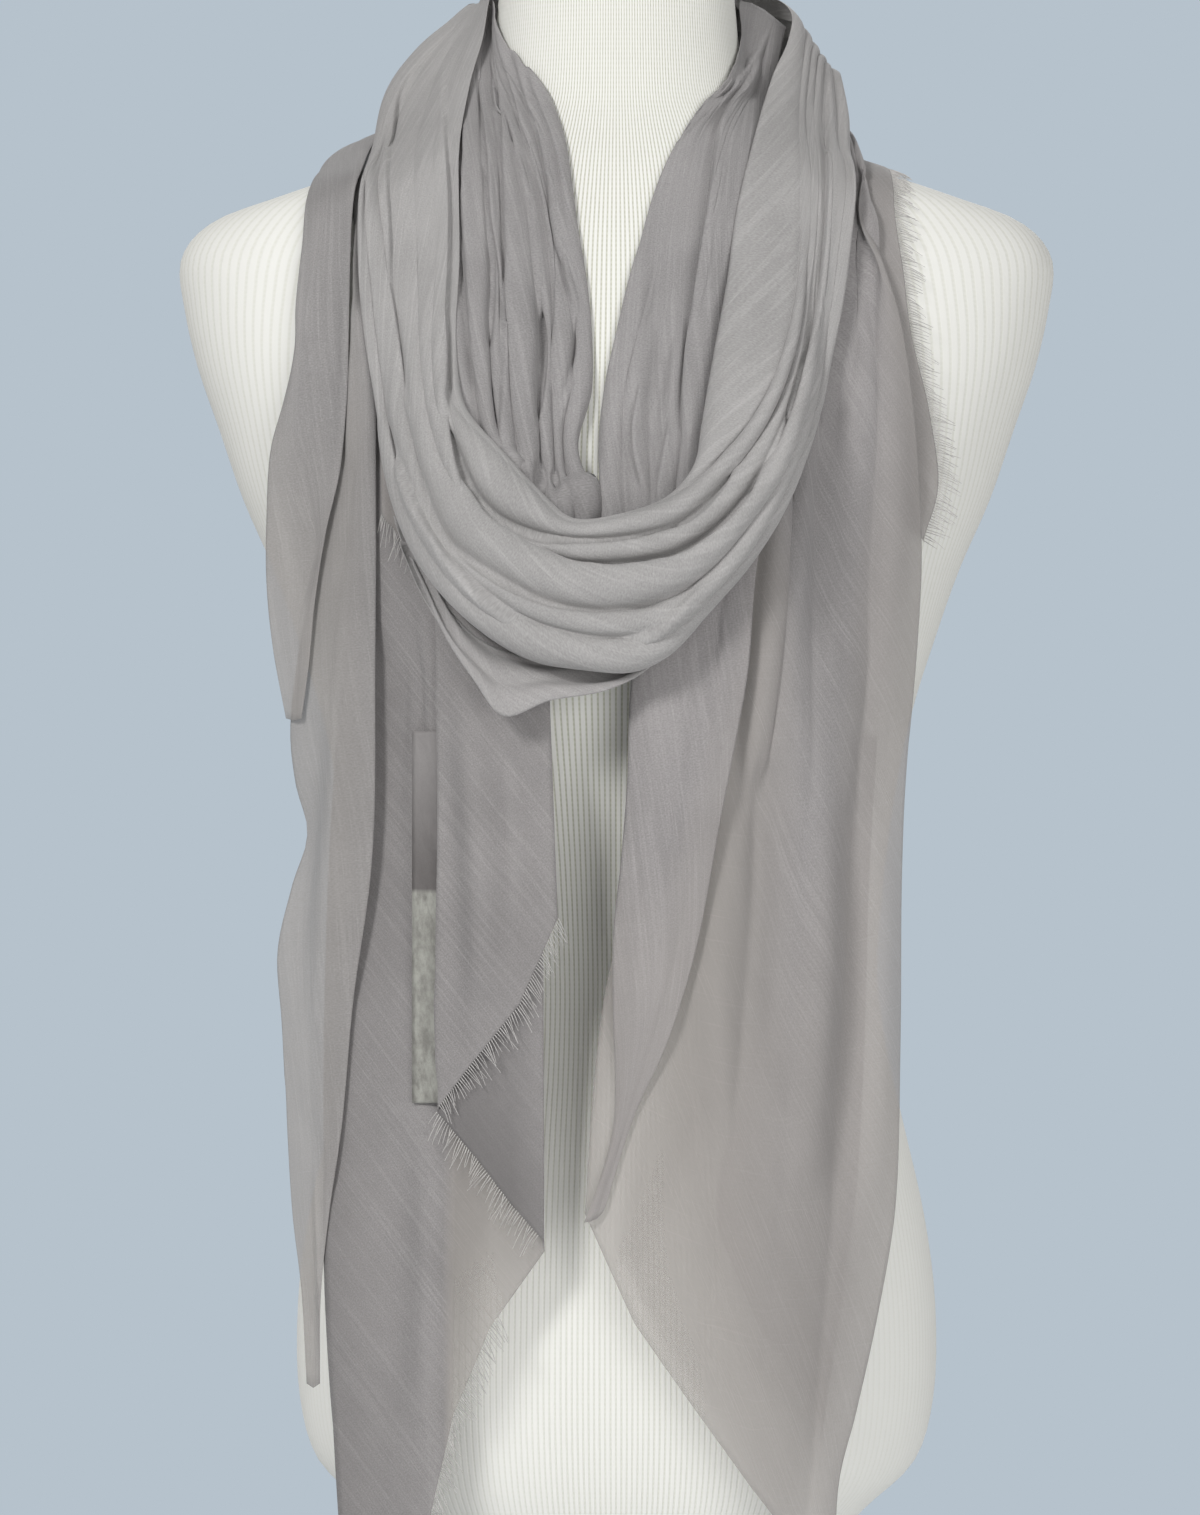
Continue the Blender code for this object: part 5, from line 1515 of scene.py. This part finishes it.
class SCARF_OT_stage(bpy.types.Operator):
    """Set up the floor, the soft light and the camera"""
    bl_idname = "scarf.stage"
    bl_label = "Stage"

    def execute(self, context):
        scene = context.scene
        look = scene.scarf_stage
        work = bmesh.new()
        bmesh.ops.create_circle(work, cap_ends=True, segments=96, radius=FLOOR_RADIUS)
        floor = make_object("floor", work)
        finish = Finish("floor", 0.9)
        finish.set(Base_Color=(*look.floor, 1))
        floor.data.materials.append(finish.material)

        work = bmesh.new()
        bmesh.ops.create_uvsphere(work, u_segments=48, v_segments=24, radius=BACKDROP_RADIUS)
        backdrop = make_object("backdrop", work)
        glow = Finish("backdrop", 1)
        glow.set(Base_Color=(0, 0, 0, 1), Emission_Color=(*look.backdrop, 1))
        glow.shader.inputs["Emission Strength"].default_value = 1.0
        glow.shader.inputs["Specular IOR Level"].default_value = 0.0
        backdrop.data.materials.append(glow.material)
        backdrop.visible_diffuse = False
        backdrop.visible_glossy = False
        backdrop.visible_shadow = False

        world = bpy.data.worlds.new("studio")
        world.use_nodes = True
        background = world.node_tree.nodes["Background"]
        background.inputs["Color"].default_value = (1, 1, 1, 1)
        background.inputs["Strength"].default_value = look.ambient
        scene.world = world
        for name, place, target, size, power, tint in LIGHTS:
            light = bpy.data.lights.new(name, "AREA")
            light.shape = "SQUARE"
            light.size = size
            light.energy = power
            light.color = tint
            lamp = bpy.data.objects.new(name, light)
            scene.collection.objects.link(lamp)
            lamp.location = place
            aim = Vector(target) - Vector(place)
            lamp.rotation_euler = aim.to_track_quat("-Z", "Y").to_euler()

        lens = bpy.data.cameras.new("camera")
        lens.lens = look.focal
        lens.sensor_width = 36
        camera = bpy.data.objects.new("camera", lens)
        scene.collection.objects.link(camera)
        camera.location = EYE * MM
        camera.rotation_euler = (pi / 2, 0, 0)
        scene.camera = camera
        scene.view_settings.view_transform = "Standard"
        return {"FINISHED"}


class SCARF_PT_panel(bpy.types.Panel):
    """The scarf's operators and settings in the sidebar"""
    bl_idname = "SCARF_PT_panel"
    bl_label = "Scarf"
    bl_space_type = "VIEW_3D"
    bl_region_type = "UI"
    bl_category = "Scarf"

    def draw(self, context):
        for group in GROUPS:
            settings = getattr(context.scene, group)
            box = self.layout.box()
            for key in settings.__annotations__:
                box.prop(settings, key)
        for step in STEPS:
            self.layout.operator(step.bl_idname)


GROUPS = {"scarf_cloth": ScarfCloth, "scarf_fringe": ScarfFringe, "scarf_form": DressForm,
          "scarf_stage": Stage}
STEPS = (SCARF_OT_stage, SCARF_OT_dress_form, SCARF_OT_stand, SCARF_OT_right_end,
         SCARF_OT_left_end, SCARF_OT_care_label, SCARF_OT_neck_turn, SCARF_OT_cowl,
         SCARF_OT_fringe)


def register():
    for kind in (*GROUPS.values(), *STEPS, SCARF_PT_panel):
        bpy.utils.register_class(kind)
    for name, kind in GROUPS.items():
        setattr(bpy.types.Scene, name, bpy.props.PointerProperty(type=kind))


def unregister():
    for name in GROUPS:
        delattr(bpy.types.Scene, name)
    for kind in (SCARF_PT_panel, *reversed(STEPS), *reversed(GROUPS.values())):
        bpy.utils.unregister_class(kind)


def main():
    register()
    bpy.ops.scarf.stage()
    bpy.ops.scarf.dress_form()
    bpy.ops.scarf.stand()
    bpy.ops.scarf.right_end()
    bpy.ops.scarf.left_end()
    bpy.ops.scarf.care_label()
    bpy.ops.scarf.neck_turn()
    bpy.ops.scarf.cowl()
    bpy.ops.scarf.fringe()


if __name__ == "__main__":
    main()
